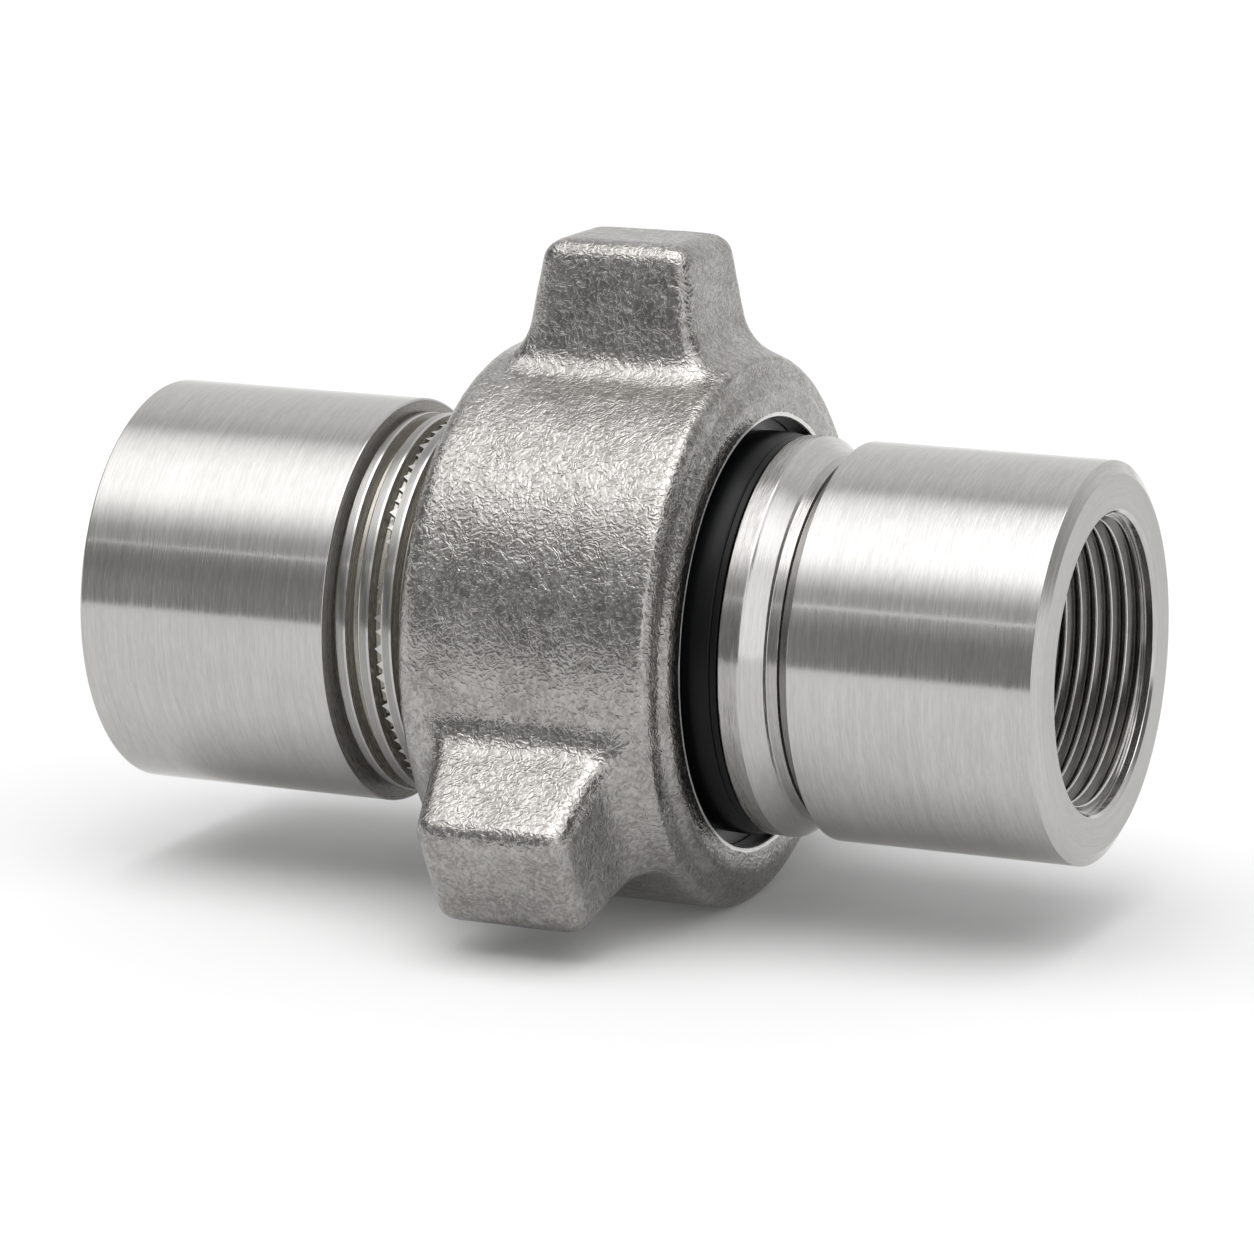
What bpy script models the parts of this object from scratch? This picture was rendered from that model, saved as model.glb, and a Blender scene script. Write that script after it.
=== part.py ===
"""A two-inch hammer union, lying on its side and made up hand tight.

Two turned steel subs meet nose to seat, and a cast wing nut with three hammer
lugs draws them together on a coarse trapezoidal thread. The nut is of the
detachable kind: three loose segments behind the nose sub's shoulder carry its
pull, a snap ring keeps them in the nut, and a rubber ring closes its back.

Frame: +X runs along the union's axis from the thread sub to the nose sub, +Z is
up, and the origin lies under the middle of the union, where the nut stands.
A station is a distance along the axis from the thread sub's outer face.
"""

import math

import bmesh
import bpy
import numpy as np

MM = 0.001

# General values
FACETS = 42
CLEARANCE = 0.30 * MM
OVERRUN = 1.0 * MM
EDGE_BREAK = 0.4 * MM
MERGE_DISTANCE = 0.001 * MM
SHARP_ANGLE = math.radians(32)
ARC_STEPS = 4

# Flow bore and the pipe-thread sockets at both ends
FLOW_BORE_RADIUS = 26.0 * MM
SOCKET_STEP = 2.3 * MM
SOCKET_MOUTH_STEP = 1.4 * MM
SOCKET_MOUTH_LENGTH = 2.7 * MM
SOCKET_THREAD_LENGTH = 35.3 * MM
SOCKET_TAPER_SHARE = 1 / 32
COUNTERSINK = 0.7 * MM

# Thread sub
THREAD_GRIP_WALL = 11.9 * MM
THREAD_GRIP_LENGTH = 55.1 * MM
RELIEF_WIDTH = 1.3 * MM
THREAD_END_CHAMFER = 2.6 * MM

# Coarse thread of the sub and the nut, right-handed, with flanks at 14.5 degrees
PITCH = 5.08 * MM
ROOT_DEPTH = 2.9 * MM
FLANK_SLOPE_SHARE = math.tan(math.radians(14.5))
FLANK_PLAY = 0.36 * MM
CREST_PLAY = 0.45 * MM
THREAD_START_DEGREES = -20.0

# Seat in the thread sub and the lip seal behind it
SEAT_DEPTH = 11.0 * MM
SEAT_WALL = 3.1 * MM
SEAT_RISE = 3.2 * MM
SEAT_THROAT_LIP = 0.8 * MM
SEAL_POCKET_LENGTH = 9.0 * MM
SEAL_WALL = 4.6 * MM
SEAL_LIP_WIDTH = 3.5 * MM
SEAL_LIP_HEIGHT = 1.5 * MM
SEAL_LIP_INSET = 2.5 * MM

# Wing nut
NUT_WALL = 8.8 * MM
NUT_LENGTH = 56.8 * MM
NUT_STANDOFF = 22.3 * MM
NUT_ROUNDING = 4.8 * MM
NUT_MOUTH_CHAMFER = 3.8 * MM
NUT_DISH = 0.8 * MM
NUT_FACE_LIP = 1.0 * MM
FLANGE_THICKNESS = 4.2 * MM
FLANGE_BORE_STEP = 1.0 * MM
THREAD_RELIEF_LENGTH = 2.6 * MM

# Hammer lugs
LUG_COUNT = 3
FIRST_LUG_DEGREES = 90.0
LUG_HEIGHT = 22.8 * MM
LUG_END_MARGIN = 1.85 * MM
LUG_END_DRAFT = 2.5 * MM
LUG_BASE_WIDTH = 32.5 * MM
LUG_SIDE_DRAFT = 3.0 * MM
LUG_EDGE_RADIUS = 4.2 * MM
LUG_CORNER_RADIUS = 5.0 * MM
LUG_FILLET_RADIUS = 7.8 * MM
LUG_ROOT_DEPTH = 2.5 * MM
LUG_CORNER_STEPS = 3
LUG_SIDE_STEPS = 4
FILLET_LEVEL_SHARES = (0.0, 0.14, 0.42, 1.0)
TIP_LEVEL_SHARES = (0.0, 0.4, 0.75, 1.0)

# Nose sub
NOSE_TIP_DROP = 0.6 * MM
NOSE_ROOT_DROP = 0.55 * MM
NOSE_BULGE = 0.35 * MM
NOSE_TIP_CHAMFER = 0.6 * MM
SHOULDER_STEP = 5.4 * MM
SHOULDER_WIDTH = 8.3 * MM
SHOULDER_GAP = 2.6 * MM
NECK_WALL = 11.0 * MM
COLLAR_STEP = 3.2 * MM
BAND_A_WIDTH = 4.4 * MM
BAND_A_DROP = 0.4 * MM
BAND_STEP = 0.3 * MM
BAND_B_WIDTH = 4.5 * MM
BAND_C_WIDTH = 5.3 * MM
GROOVE_DEPTH = 3.2 * MM
GROOVE_DEEPENING = 1.0 * MM
NOSE_GRIP_WALL = 10.3 * MM
NOSE_GRIP_LENGTH = 51.8 * MM
NOSE_END_CHAMFER_LENGTH = 1.5 * MM
NOSE_END_CHAMFER_DEPTH = 2.6 * MM

# Retainer segments, snap ring and rubber ring
SEGMENT_COUNT = 3
SEGMENT_GAP_DEGREES = 3.0
SEGMENT_WIDTH = 8.6 * MM
SEGMENT_BEARING = 3.5 * MM
SNAP_WIDTH = 2.4 * MM
SNAP_DEPTH = 2.6 * MM
SNAP_GAP_DEGREES = 9.0
DUST_RING_WIDTH = 10.4 * MM
DUST_RING_STEP = 0.4 * MM
DUST_RING_ROUNDING = 0.7 * MM
DUST_RING_LIP_WIDTH = 1.5 * MM
DUST_RING_LIP_DEPTH = 0.35 * MM

# Stations along the axis, worked out from the sizes above
SUB_SHOULDER = THREAD_GRIP_LENGTH
CREST_START = SUB_SHOULDER + RELIEF_WIDTH
NUT_START = SUB_SHOULDER + NUT_STANDOFF
NUT_END = NUT_START + NUT_LENGTH
BORE_EDGE = NUT_END - NUT_DISH
CHAMBER_END = BORE_EDGE - FLANGE_THICKNESS
SEGMENT_END = CHAMBER_END - CLEARANCE
SEGMENT_START = SEGMENT_END - SEGMENT_WIDTH
SHOULDER_END = SEGMENT_START - CLEARANCE
SHOULDER_START = SHOULDER_END - SHOULDER_WIDTH
SUB_END = SHOULDER_START - SHOULDER_GAP
SEAT_THROAT = SUB_END - SEAT_DEPTH
SEAL_END = SEAT_THROAT - SEAL_POCKET_LENGTH
SNAP_END = SHOULDER_END - CLEARANCE
SNAP_START = SNAP_END - SNAP_WIDTH
CHAMBER_START = SHOULDER_START - CLEARANCE
NUT_THREAD_END = CHAMBER_START - THREAD_RELIEF_LENGTH
DUST_RING_START = CHAMBER_END + CLEARANCE
DUST_RING_END = DUST_RING_START + DUST_RING_WIDTH
COLLAR_START = DUST_RING_END + CLEARANCE
BAND_B_START = COLLAR_START + BAND_A_WIDTH
BAND_C_START = BAND_B_START + BAND_B_WIDTH
NOSE_GRIP_START = BAND_C_START + BAND_C_WIDTH
NOSE_GRIP_END = NOSE_GRIP_START + NOSE_GRIP_LENGTH
OVERALL_LENGTH = NOSE_GRIP_END

# Radii worked out from the flow bore outwards
SOCKET_CREST_RADIUS = FLOW_BORE_RADIUS + SOCKET_STEP
SOCKET_MOUTH_RADIUS = SOCKET_CREST_RADIUS + SOCKET_MOUTH_STEP
THREAD_GRIP_RADIUS = SOCKET_MOUTH_RADIUS + THREAD_GRIP_WALL
NOSE_GRIP_RADIUS = SOCKET_MOUTH_RADIUS + NOSE_GRIP_WALL
SEAL_POCKET_RADIUS = FLOW_BORE_RADIUS + SEAL_WALL
SEAT_THROAT_RADIUS = SEAL_POCKET_RADIUS - SEAT_THROAT_LIP
SEAT_MOUTH_RADIUS = SEAT_THROAT_RADIUS + SEAT_RISE
THREAD_ROOT_RADIUS = SEAT_MOUTH_RADIUS + SEAT_WALL
MAJOR_RADIUS = THREAD_ROOT_RADIUS + ROOT_DEPTH
PITCH_RADIUS = MAJOR_RADIUS - PITCH / 4
NUT_CREST_RADIUS = THREAD_ROOT_RADIUS + CREST_PLAY
NUT_ROOT_RADIUS = MAJOR_RADIUS + CREST_PLAY
THREAD_RELIEF_RADIUS = NUT_ROOT_RADIUS + CLEARANCE
NECK_RADIUS = FLOW_BORE_RADIUS + NECK_WALL
COLLAR_RADIUS = NECK_RADIUS + COLLAR_STEP
GROOVE_START_RADIUS = COLLAR_RADIUS - GROOVE_DEPTH
GROOVE_END_RADIUS = GROOVE_START_RADIUS - GROOVE_DEEPENING
DUST_RING_RADIUS = COLLAR_RADIUS + DUST_RING_STEP
SHOULDER_RADIUS = NECK_RADIUS + SHOULDER_STEP
FLANGE_BORE_RADIUS = SHOULDER_RADIUS + FLANGE_BORE_STEP
SEGMENT_INNER_RADIUS = NECK_RADIUS + CLEARANCE
SEGMENT_OUTER_RADIUS = FLANGE_BORE_RADIUS + SEGMENT_BEARING
CHAMBER_RADIUS = SEGMENT_OUTER_RADIUS + CLEARANCE
NUT_RADIUS = CHAMBER_RADIUS + NUT_WALL
SNAP_INNER_RADIUS = SHOULDER_RADIUS + CLEARANCE
SNAP_OUTER_RADIUS = SNAP_INNER_RADIUS + SNAP_DEPTH
SNAP_GROOVE_RADIUS = SNAP_OUTER_RADIUS + CLEARANCE
NOSE_TIP_RADIUS = SEAT_THROAT_RADIUS - NOSE_TIP_DROP
NOSE_ROOT_RADIUS = SEAT_MOUTH_RADIUS - NOSE_ROOT_DROP

# A lug's base and tip over the nut's body, and the height of its flanks below the rounded tip
LUG_BASE_LENGTH = NUT_LENGTH - 2 * (LUG_END_MARGIN + LUG_FILLET_RADIUS)
LUG_TIP_LENGTH = LUG_BASE_LENGTH - 2 * LUG_END_DRAFT
LUG_TIP_WIDTH = LUG_BASE_WIDTH - 2 * LUG_SIDE_DRAFT
LUG_FLANK_HEIGHT = LUG_HEIGHT - LUG_EDGE_RADIUS

# The polygon's first corner, so that a flat facet and not a corner points down
FACET_ANGLE = 2 * math.pi / FACETS
FIRST_CORNER = -math.pi / 2 + FACET_ANGLE / 2
AXIS_HEIGHT = NUT_RADIUS * math.cos(FACET_ANGLE / 2)


def clear_scene():
    for old in list(bpy.data.objects):
        bpy.data.objects.remove(old, do_unlink=True)
    for old in list(bpy.data.collections):
        bpy.data.collections.remove(old)


def new_collection(name):
    made = bpy.data.collections.new(name)
    bpy.context.scene.collection.children.link(made)
    return made


def finish_material(name, colour, roughness, metallic):
    made = bpy.data.materials.new(name)
    made.use_nodes = True
    shader = made.node_tree.nodes["Principled BSDF"]
    shader.inputs["Base Color"].default_value = (*colour, 1.0)
    shader.inputs["Roughness"].default_value = roughness
    shader.inputs["Metallic"].default_value = metallic
    made.diffuse_color = (*colour, 1.0)
    return made


def arc(centre, radius, start_degrees, end_degrees, steps=ARC_STEPS):
    """Points (station, radius) on an arc, both ends included."""
    points = []
    for step in range(steps + 1):
        turn = math.radians(start_degrees + (end_degrees - start_degrees) * step / steps)
        points.append((centre[0] + radius * math.cos(turn), centre[1] + radius * math.sin(turn)))
    return points


def bulged(start, end, bulge, steps):
    """Points from start to end on a shallow curve that stands bulge proud of the chord."""
    points = []
    for step in range(steps + 1):
        share = step / steps
        rise = 4 * bulge * share * (1 - share)
        points.append((start[0] + (end[0] - start[0]) * share, start[1] + (end[1] - start[1]) * share + rise))
    return points


def screwed(name, outline, start_angle, angle, steps, collection, offset=0.0, turns=1):
    """An object whose closed outline of (station, radius) points is turned about the X axis."""
    mesh = bpy.data.meshes.new(name)
    corners = [(s, r * math.cos(start_angle), r * math.sin(start_angle)) for s, r in outline]
    edges = [(i, (i + 1) % len(corners)) for i in range(len(corners))]
    mesh.from_pydata(corners, edges, [])
    made = bpy.data.objects.new(name, mesh)
    collection.objects.link(made)
    screw = made.modifiers.new("turn", "SCREW")
    screw.axis = "X"
    screw.angle = angle
    screw.screw_offset = offset
    screw.iterations = turns
    screw.steps = steps
    screw.render_steps = steps
    screw.use_merge_vertices = abs(angle) >= 2 * math.pi and offset == 0.0
    screw.merge_threshold = MERGE_DISTANCE
    return made


def freeze(piece):
    """Apply the piece's modifiers, close open ends and point all faces outwards."""
    seen = piece.evaluated_get(bpy.context.evaluated_depsgraph_get())
    mesh = bpy.data.meshes.new_from_object(seen)
    piece.modifiers.clear()
    old = piece.data
    piece.data = mesh
    bpy.data.meshes.remove(old)
    work = bmesh.new()
    work.from_mesh(mesh)
    bmesh.ops.remove_doubles(work, verts=work.verts, dist=MERGE_DISTANCE)
    bmesh.ops.holes_fill(work, edges=[edge for edge in work.edges if edge.is_boundary], sides=0)
    bmesh.ops.recalc_face_normals(work, faces=work.faces)
    work.to_mesh(mesh)
    work.free()
    mesh.name = piece.name
    return piece


def turned(name, outline, collection):
    """A full solid of revolution about the union's axis."""
    return freeze(screwed(name, outline, FIRST_CORNER, 2 * math.pi, FACETS, collection))


def ring_piece(name, outline, start_degrees, sweep_degrees, steps, collection):
    """Part of a ring, cut off flat at both ends."""
    start = math.radians(start_degrees)
    return freeze(screwed(name, outline, start, math.radians(sweep_degrees), steps, collection))


def hide_cutter(piece):
    piece.hide_render = True
    piece.display_type = "WIRE"


def boolean(piece, tool, operation):
    change = piece.modifiers.new(tool.name, "BOOLEAN")
    change.operation = operation
    change.solver = "EXACT"
    change.object = tool


def finish(piece, material, carrier):
    """Give a piece its material, smooth shading and place on the union's axis."""
    piece.data.materials.clear()
    piece.data.materials.append(material)
    piece.data.shade_smooth()
    piece.data.set_sharp_from_angle(angle=SHARP_ANGLE)
    piece.parent = carrier
    return piece


def carrier_empty(name, parent, collection):
    """An empty on the union's axis that carries the pieces of one moving body."""
    made = bpy.data.objects.new(name, None)
    collection.objects.link(made)
    made.parent = parent
    return made


def thread_half_width(radius, outward):
    """Half the width of a thread groove at a radius; outward is 1 if it opens outwards, -1 if inwards."""
    return PITCH / 4 + FLANK_PLAY / 2 + outward * (radius - PITCH_RADIUS) * FLANK_SLOPE_SHARE


def thread_start():
    """Angle and station at which the sub's thread groove begins, just clear of the grip's shoulder."""
    wanted = math.radians(THREAD_START_DEGREES)
    corner = round((wanted - FIRST_CORNER) / FACET_ANGLE)
    mouth = thread_half_width(MAJOR_RADIUS + OVERRUN, 1)
    return FIRST_CORNER + corner * FACET_ANGLE, SUB_SHOULDER + EDGE_BREAK + mouth


def helical_groove(name, narrow_radius, wide_radius, station, turns, collection):
    """A closed cutter: a trapezoid swept along a right-handed helix of the thread's pitch."""
    outward = 1 if wide_radius > narrow_radius else -1
    narrow = thread_half_width(narrow_radius, outward)
    wide = thread_half_width(wide_radius, outward)
    outline = [
        (station - narrow, narrow_radius),
        (station - wide, wide_radius),
        (station + wide, wide_radius),
        (station + narrow, narrow_radius),
    ]
    start_angle, _ = thread_start()
    cutter = screwed(name, outline, start_angle, 2 * math.pi, FACETS, collection, PITCH, turns)
    freeze(cutter)
    hide_cutter(cutter)
    return cutter


def socket_outline(face, inward):
    """Bore of a pipe-thread socket from its outer face inwards; inward is 1 or -1 along the axis."""
    thread_start_station = face + inward * SOCKET_MOUTH_LENGTH
    thread_end_station = thread_start_station + inward * SOCKET_THREAD_LENGTH
    end_radius = SOCKET_CREST_RADIUS - SOCKET_THREAD_LENGTH * SOCKET_TAPER_SHARE
    return [
        (face, SOCKET_MOUTH_RADIUS + COUNTERSINK),
        (face + inward * COUNTERSINK, SOCKET_MOUTH_RADIUS),
        (thread_start_station, SOCKET_MOUTH_RADIUS),
        (thread_start_station, SOCKET_CREST_RADIUS),
        (thread_end_station, end_radius),
        (thread_end_station, FLOW_BORE_RADIUS),
    ]


def make_thread_sub(parts, cutters):
    """The left sub: a plain grip, the coarse outer thread, the nose's seat and the seal's pocket."""
    lip_end = SEAT_THROAT - SEAL_LIP_INSET
    lip_start = lip_end - SEAL_LIP_WIDTH
    lip_radius = SEAL_POCKET_RADIUS + SEAL_LIP_HEIGHT
    outside = [
        (0.0, THREAD_GRIP_RADIUS - EDGE_BREAK),
        (EDGE_BREAK, THREAD_GRIP_RADIUS),
        (SUB_SHOULDER - EDGE_BREAK, THREAD_GRIP_RADIUS),
        (SUB_SHOULDER, THREAD_GRIP_RADIUS - EDGE_BREAK),
        (SUB_SHOULDER, THREAD_ROOT_RADIUS),
        (CREST_START, THREAD_ROOT_RADIUS),
        (CREST_START, MAJOR_RADIUS),
        (SUB_END - THREAD_END_CHAMFER, MAJOR_RADIUS),
        (SUB_END, MAJOR_RADIUS - THREAD_END_CHAMFER),
    ]
    seat = [
        (SUB_END, SEAT_MOUTH_RADIUS),
        (SEAT_THROAT, SEAT_THROAT_RADIUS),
        (SEAT_THROAT, SEAL_POCKET_RADIUS),
        (lip_end, SEAL_POCKET_RADIUS),
        (lip_end, lip_radius),
        (lip_start, lip_radius),
        (lip_start, SEAL_POCKET_RADIUS),
        (SEAL_END, SEAL_POCKET_RADIUS),
        (SEAL_END, FLOW_BORE_RADIUS),
    ]
    socket = socket_outline(0.0, 1)
    sub = turned("thread_sub", outside + seat + socket[::-1], parts)
    _, station = thread_start()
    turns = math.ceil((SUB_END - station) / PITCH) + 1
    open_radius = MAJOR_RADIUS + OVERRUN
    groove = helical_groove("thread_groove", THREAD_ROOT_RADIUS, open_radius, station, turns, cutters)
    boolean(sub, groove, "DIFFERENCE")
    return freeze(sub)


def make_lip_seal(parts):
    """The rubber seal in its pocket, with a lip that snaps into the pocket's groove."""
    outer = SEAL_POCKET_RADIUS - CLEARANCE
    lip_end = SEAT_THROAT - SEAL_LIP_INSET - CLEARANCE
    lip_start = lip_end - SEAL_LIP_WIDTH + 2 * CLEARANCE
    lip_radius = SEAL_POCKET_RADIUS + SEAL_LIP_HEIGHT - CLEARANCE
    slope = lip_radius - outer
    outline = [
        (SEAL_END + CLEARANCE, outer),
        (lip_start, outer),
        (lip_start + slope / 2, lip_radius),
        (lip_end, lip_radius),
        (lip_end, outer),
        (SEAT_THROAT - CLEARANCE, outer),
        (SEAT_THROAT - CLEARANCE, FLOW_BORE_RADIUS),
        (SEAL_END + CLEARANCE, FLOW_BORE_RADIUS),
    ]
    return turned("lip_seal", outline, parts)


def make_nose_sub(parts):
    """The right sub: rounded nose, shoulder, neck, stepped collar, groove, plain grip and socket."""
    nose = [(SEAT_THROAT, NOSE_TIP_RADIUS - NOSE_TIP_CHAMFER)]
    nose += bulged(
        (SEAT_THROAT + NOSE_TIP_CHAMFER, NOSE_TIP_RADIUS),
        (SUB_END, NOSE_ROOT_RADIUS),
        NOSE_BULGE,
        ARC_STEPS,
    )
    shoulder = [
        (SHOULDER_START, NOSE_ROOT_RADIUS),
        (SHOULDER_START, SHOULDER_RADIUS - EDGE_BREAK),
        (SHOULDER_START + EDGE_BREAK, SHOULDER_RADIUS),
        (SHOULDER_END, SHOULDER_RADIUS),
        (SHOULDER_END, NECK_RADIUS),
    ]
    collar = [
        (COLLAR_START, NECK_RADIUS),
        (COLLAR_START, COLLAR_RADIUS - BAND_STEP),
        (COLLAR_START + BAND_STEP, COLLAR_RADIUS),
        (BAND_B_START, COLLAR_RADIUS - BAND_A_DROP),
        (BAND_B_START + BAND_STEP, COLLAR_RADIUS - BAND_A_DROP - BAND_STEP),
        (BAND_C_START, GROOVE_START_RADIUS),
        (NOSE_GRIP_START, GROOVE_END_RADIUS),
    ]
    grip = [
        (NOSE_GRIP_START, NOSE_GRIP_RADIUS - EDGE_BREAK),
        (NOSE_GRIP_START + EDGE_BREAK, NOSE_GRIP_RADIUS),
        (NOSE_GRIP_END - NOSE_END_CHAMFER_LENGTH, NOSE_GRIP_RADIUS),
        (NOSE_GRIP_END, NOSE_GRIP_RADIUS - NOSE_END_CHAMFER_DEPTH),
    ]
    bore = socket_outline(NOSE_GRIP_END, -1) + [(SEAT_THROAT, FLOW_BORE_RADIUS)]
    return turned("nose_sub", nose + shoulder + collar + grip + bore, parts)


def nut_outline():
    """Section of the wing nut: rounded casting outside, thread bore, chamber and flange inside."""
    low = NUT_RADIUS - NUT_ROUNDING
    outside = arc((NUT_START + NUT_ROUNDING, low), NUT_ROUNDING, 180, 90)
    outside += arc((NUT_END - NUT_ROUNDING, low), NUT_ROUNDING, 90, 0)
    lip = [
        (BORE_EDGE, FLANGE_BORE_RADIUS + NUT_FACE_LIP),
        (BORE_EDGE - NUT_FACE_LIP / 2, FLANGE_BORE_RADIUS),
    ]
    chamber = [
        (CHAMBER_END, FLANGE_BORE_RADIUS),
        (CHAMBER_END, CHAMBER_RADIUS),
        (SHOULDER_END, CHAMBER_RADIUS),
        (SHOULDER_END, SNAP_GROOVE_RADIUS),
        (SNAP_START - CLEARANCE, SNAP_GROOVE_RADIUS),
        (SNAP_START - CLEARANCE, FLANGE_BORE_RADIUS),
        (CHAMBER_START, FLANGE_BORE_RADIUS),
        (CHAMBER_START, THREAD_RELIEF_RADIUS),
        (NUT_THREAD_END, THREAD_RELIEF_RADIUS),
        (NUT_THREAD_END, NUT_CREST_RADIUS),
    ]
    mouth = [
        (NUT_START + NUT_MOUTH_CHAMFER, NUT_CREST_RADIUS),
        (NUT_START, NUT_CREST_RADIUS + NUT_MOUTH_CHAMFER),
    ]
    return outside + lip + chamber + mouth


def body_radius(station):
    """Outer radius of the nut's turned body at a station, through both rounded edges."""
    near_edge = min(station - NUT_START, NUT_END - station)
    if near_edge >= NUT_ROUNDING:
        return NUT_RADIUS
    inset = NUT_ROUNDING - max(near_edge, 0.0)
    return NUT_RADIUS - NUT_ROUNDING + math.sqrt(NUT_ROUNDING ** 2 - inset ** 2)


def rounded_rectangle(half_length, half_width, corner):
    """Points round a rectangle with rounded corners, as (along the axis, across), anticlockwise."""
    quarter = math.pi / 2
    corners = []
    for index, (along, across) in enumerate(((1, 1), (-1, 1), (-1, -1), (1, -1))):
        middle = (along * (half_length - corner), across * (half_width - corner))
        round_corner = []
        for step in range(LUG_CORNER_STEPS + 1):
            turn = quarter * (index + step / LUG_CORNER_STEPS)
            round_corner.append((middle[0] + corner * math.cos(turn), middle[1] + corner * math.sin(turn)))
        corners.append(round_corner)
    points = []
    for index, here in enumerate(corners):
        following = corners[(index + 1) % len(corners)][0]
        points += here
        for step in range(1, LUG_SIDE_STEPS):
            share = step / LUG_SIDE_STEPS
            points.append(tuple(a + (b - a) * share for a, b in zip(here[-1], following)))
    return points


def lug_ring(height, spread, inset, follow_share):
    """One ring of a lug at a height over the nut's body, spread by the fillet or inset by the tip's edge.

    follow_share is 1 where the ring follows the round body and 0 where it is flat.
    """
    middle = (NUT_START + NUT_END) / 2
    share = min(max(height / LUG_FLANK_HEIGHT, 0.0), 1.0)
    length = LUG_BASE_LENGTH + (LUG_TIP_LENGTH - LUG_BASE_LENGTH) * share
    width = LUG_BASE_WIDTH + (LUG_TIP_WIDTH - LUG_BASE_WIDTH) * share
    corner = LUG_CORNER_RADIUS + spread
    corner -= inset * LUG_CORNER_RADIUS / (LUG_CORNER_RADIUS + LUG_EDGE_RADIUS)
    grow = spread - inset
    points = []
    for along, across in rounded_rectangle(length / 2 + grow, width / 2 + grow, corner):
        surface = math.sqrt(max(body_radius(middle + along) ** 2 - across ** 2, 0.0))
        level = surface * follow_share + NUT_RADIUS * (1 - follow_share)
        points.append((middle + along, across, level + height))
    return points


def lug_rings():
    """Rings of a lug from its root inside the nut to its rounded tip, each a list of (x, across, up)."""
    rings = [lug_ring(-LUG_ROOT_DEPTH, LUG_FILLET_RADIUS, 0.0, 1.0)]
    for share in FILLET_LEVEL_SHARES:
        height = share * LUG_FILLET_RADIUS
        drop = math.sqrt(LUG_FILLET_RADIUS ** 2 - (LUG_FILLET_RADIUS - height) ** 2)
        rings.append(lug_ring(height, LUG_FILLET_RADIUS - drop, 0.0, 1.0 - share ** 2))
    for share in TIP_LEVEL_SHARES:
        turn = share * math.pi / 2
        height = LUG_FLANK_HEIGHT + LUG_EDGE_RADIUS * math.sin(turn)
        rings.append(lug_ring(height, 0.0, LUG_EDGE_RADIUS * (1 - math.cos(turn)), 0.0))
    return rings


def lofted_lug(name, angle, collection):
    """A lug lofted through its rings, turned to its place round the nut."""
    rings = lug_rings()
    count = len(rings[0])
    turn = np.array([
        [1.0, 0.0, 0.0],
        [0.0, math.sin(angle), math.cos(angle)],
        [0.0, -math.cos(angle), math.sin(angle)],
    ])
    corners = np.array([point for ring in rings for point in ring]) @ turn.T
    faces = [tuple(range(count))[::-1], tuple(range((len(rings) - 1) * count, len(rings) * count))]
    for level in range(len(rings) - 1):
        for i in range(count):
            j = (i + 1) % count
            low, high = level * count, (level + 1) * count
            faces.append((low + i, low + j, high + j, high + i))
    mesh = bpy.data.meshes.new(name)
    mesh.from_pydata(corners.tolist(), [], faces)
    made = bpy.data.objects.new(name, mesh)
    collection.objects.link(made)
    freeze(made)
    hide_cutter(made)
    return made


def make_wing_nut(parts, cutters):
    """The cast nut: turned body, three hammer lugs joined on, and the thread cut in its bore."""
    nut = turned("wing_nut", nut_outline(), parts)
    for index in range(LUG_COUNT):
        angle = math.radians(FIRST_LUG_DEGREES) + index * 2 * math.pi / LUG_COUNT
        boolean(nut, lofted_lug(f"lug_{index + 1}", angle, cutters), "UNION")
    _, station = thread_start()
    skipped = math.floor((NUT_START - station) / PITCH) - 1
    turns = math.ceil((NUT_THREAD_END - NUT_START) / PITCH) + 2
    start = station + (skipped + 1 / 2) * PITCH
    open_radius = NUT_CREST_RADIUS - OVERRUN
    groove = helical_groove("nut_groove", NUT_ROOT_RADIUS, open_radius, start, turns, cutters)
    boolean(nut, groove, "DIFFERENCE")
    return freeze(nut)


def make_dust_ring(parts):
    """The black rubber ring that centres and closes the back of the nut, with a fine outer lip."""
    inner = NECK_RADIUS + CLEARANCE
    lip_start = DUST_RING_END - DUST_RING_LIP_WIDTH
    lip_radius = DUST_RING_RADIUS - DUST_RING_LIP_DEPTH
    outline = [
        (DUST_RING_START, inner),
        (DUST_RING_START, DUST_RING_RADIUS - DUST_RING_ROUNDING),
        (DUST_RING_START + DUST_RING_ROUNDING, DUST_RING_RADIUS),
        (lip_start - DUST_RING_LIP_DEPTH, DUST_RING_RADIUS),
        (lip_start, lip_radius),
        (DUST_RING_END - DUST_RING_LIP_DEPTH, lip_radius),
        (DUST_RING_END, lip_radius - DUST_RING_LIP_DEPTH),
        (DUST_RING_END, inner),
    ]
    return turned("dust_ring", outline, parts)


def make_segment(index, parts):
    """One of the arcs between the sub's shoulder and the nut's flange."""
    share = 360 / SEGMENT_COUNT
    start = FIRST_LUG_DEGREES + index * share + SEGMENT_GAP_DEGREES / 2
    steps = FACETS // SEGMENT_COUNT
    outline = [
        (SEGMENT_START, SEGMENT_INNER_RADIUS),
        (SEGMENT_START, SEGMENT_OUTER_RADIUS - EDGE_BREAK),
        (SEGMENT_START + EDGE_BREAK, SEGMENT_OUTER_RADIUS),
        (SEGMENT_END, SEGMENT_OUTER_RADIUS),
        (SEGMENT_END, SEGMENT_INNER_RADIUS),
    ]
    name = f"retainer_segment_{index + 1}"
    return ring_piece(name, outline, start, share - SEGMENT_GAP_DEGREES, steps, parts)


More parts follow.
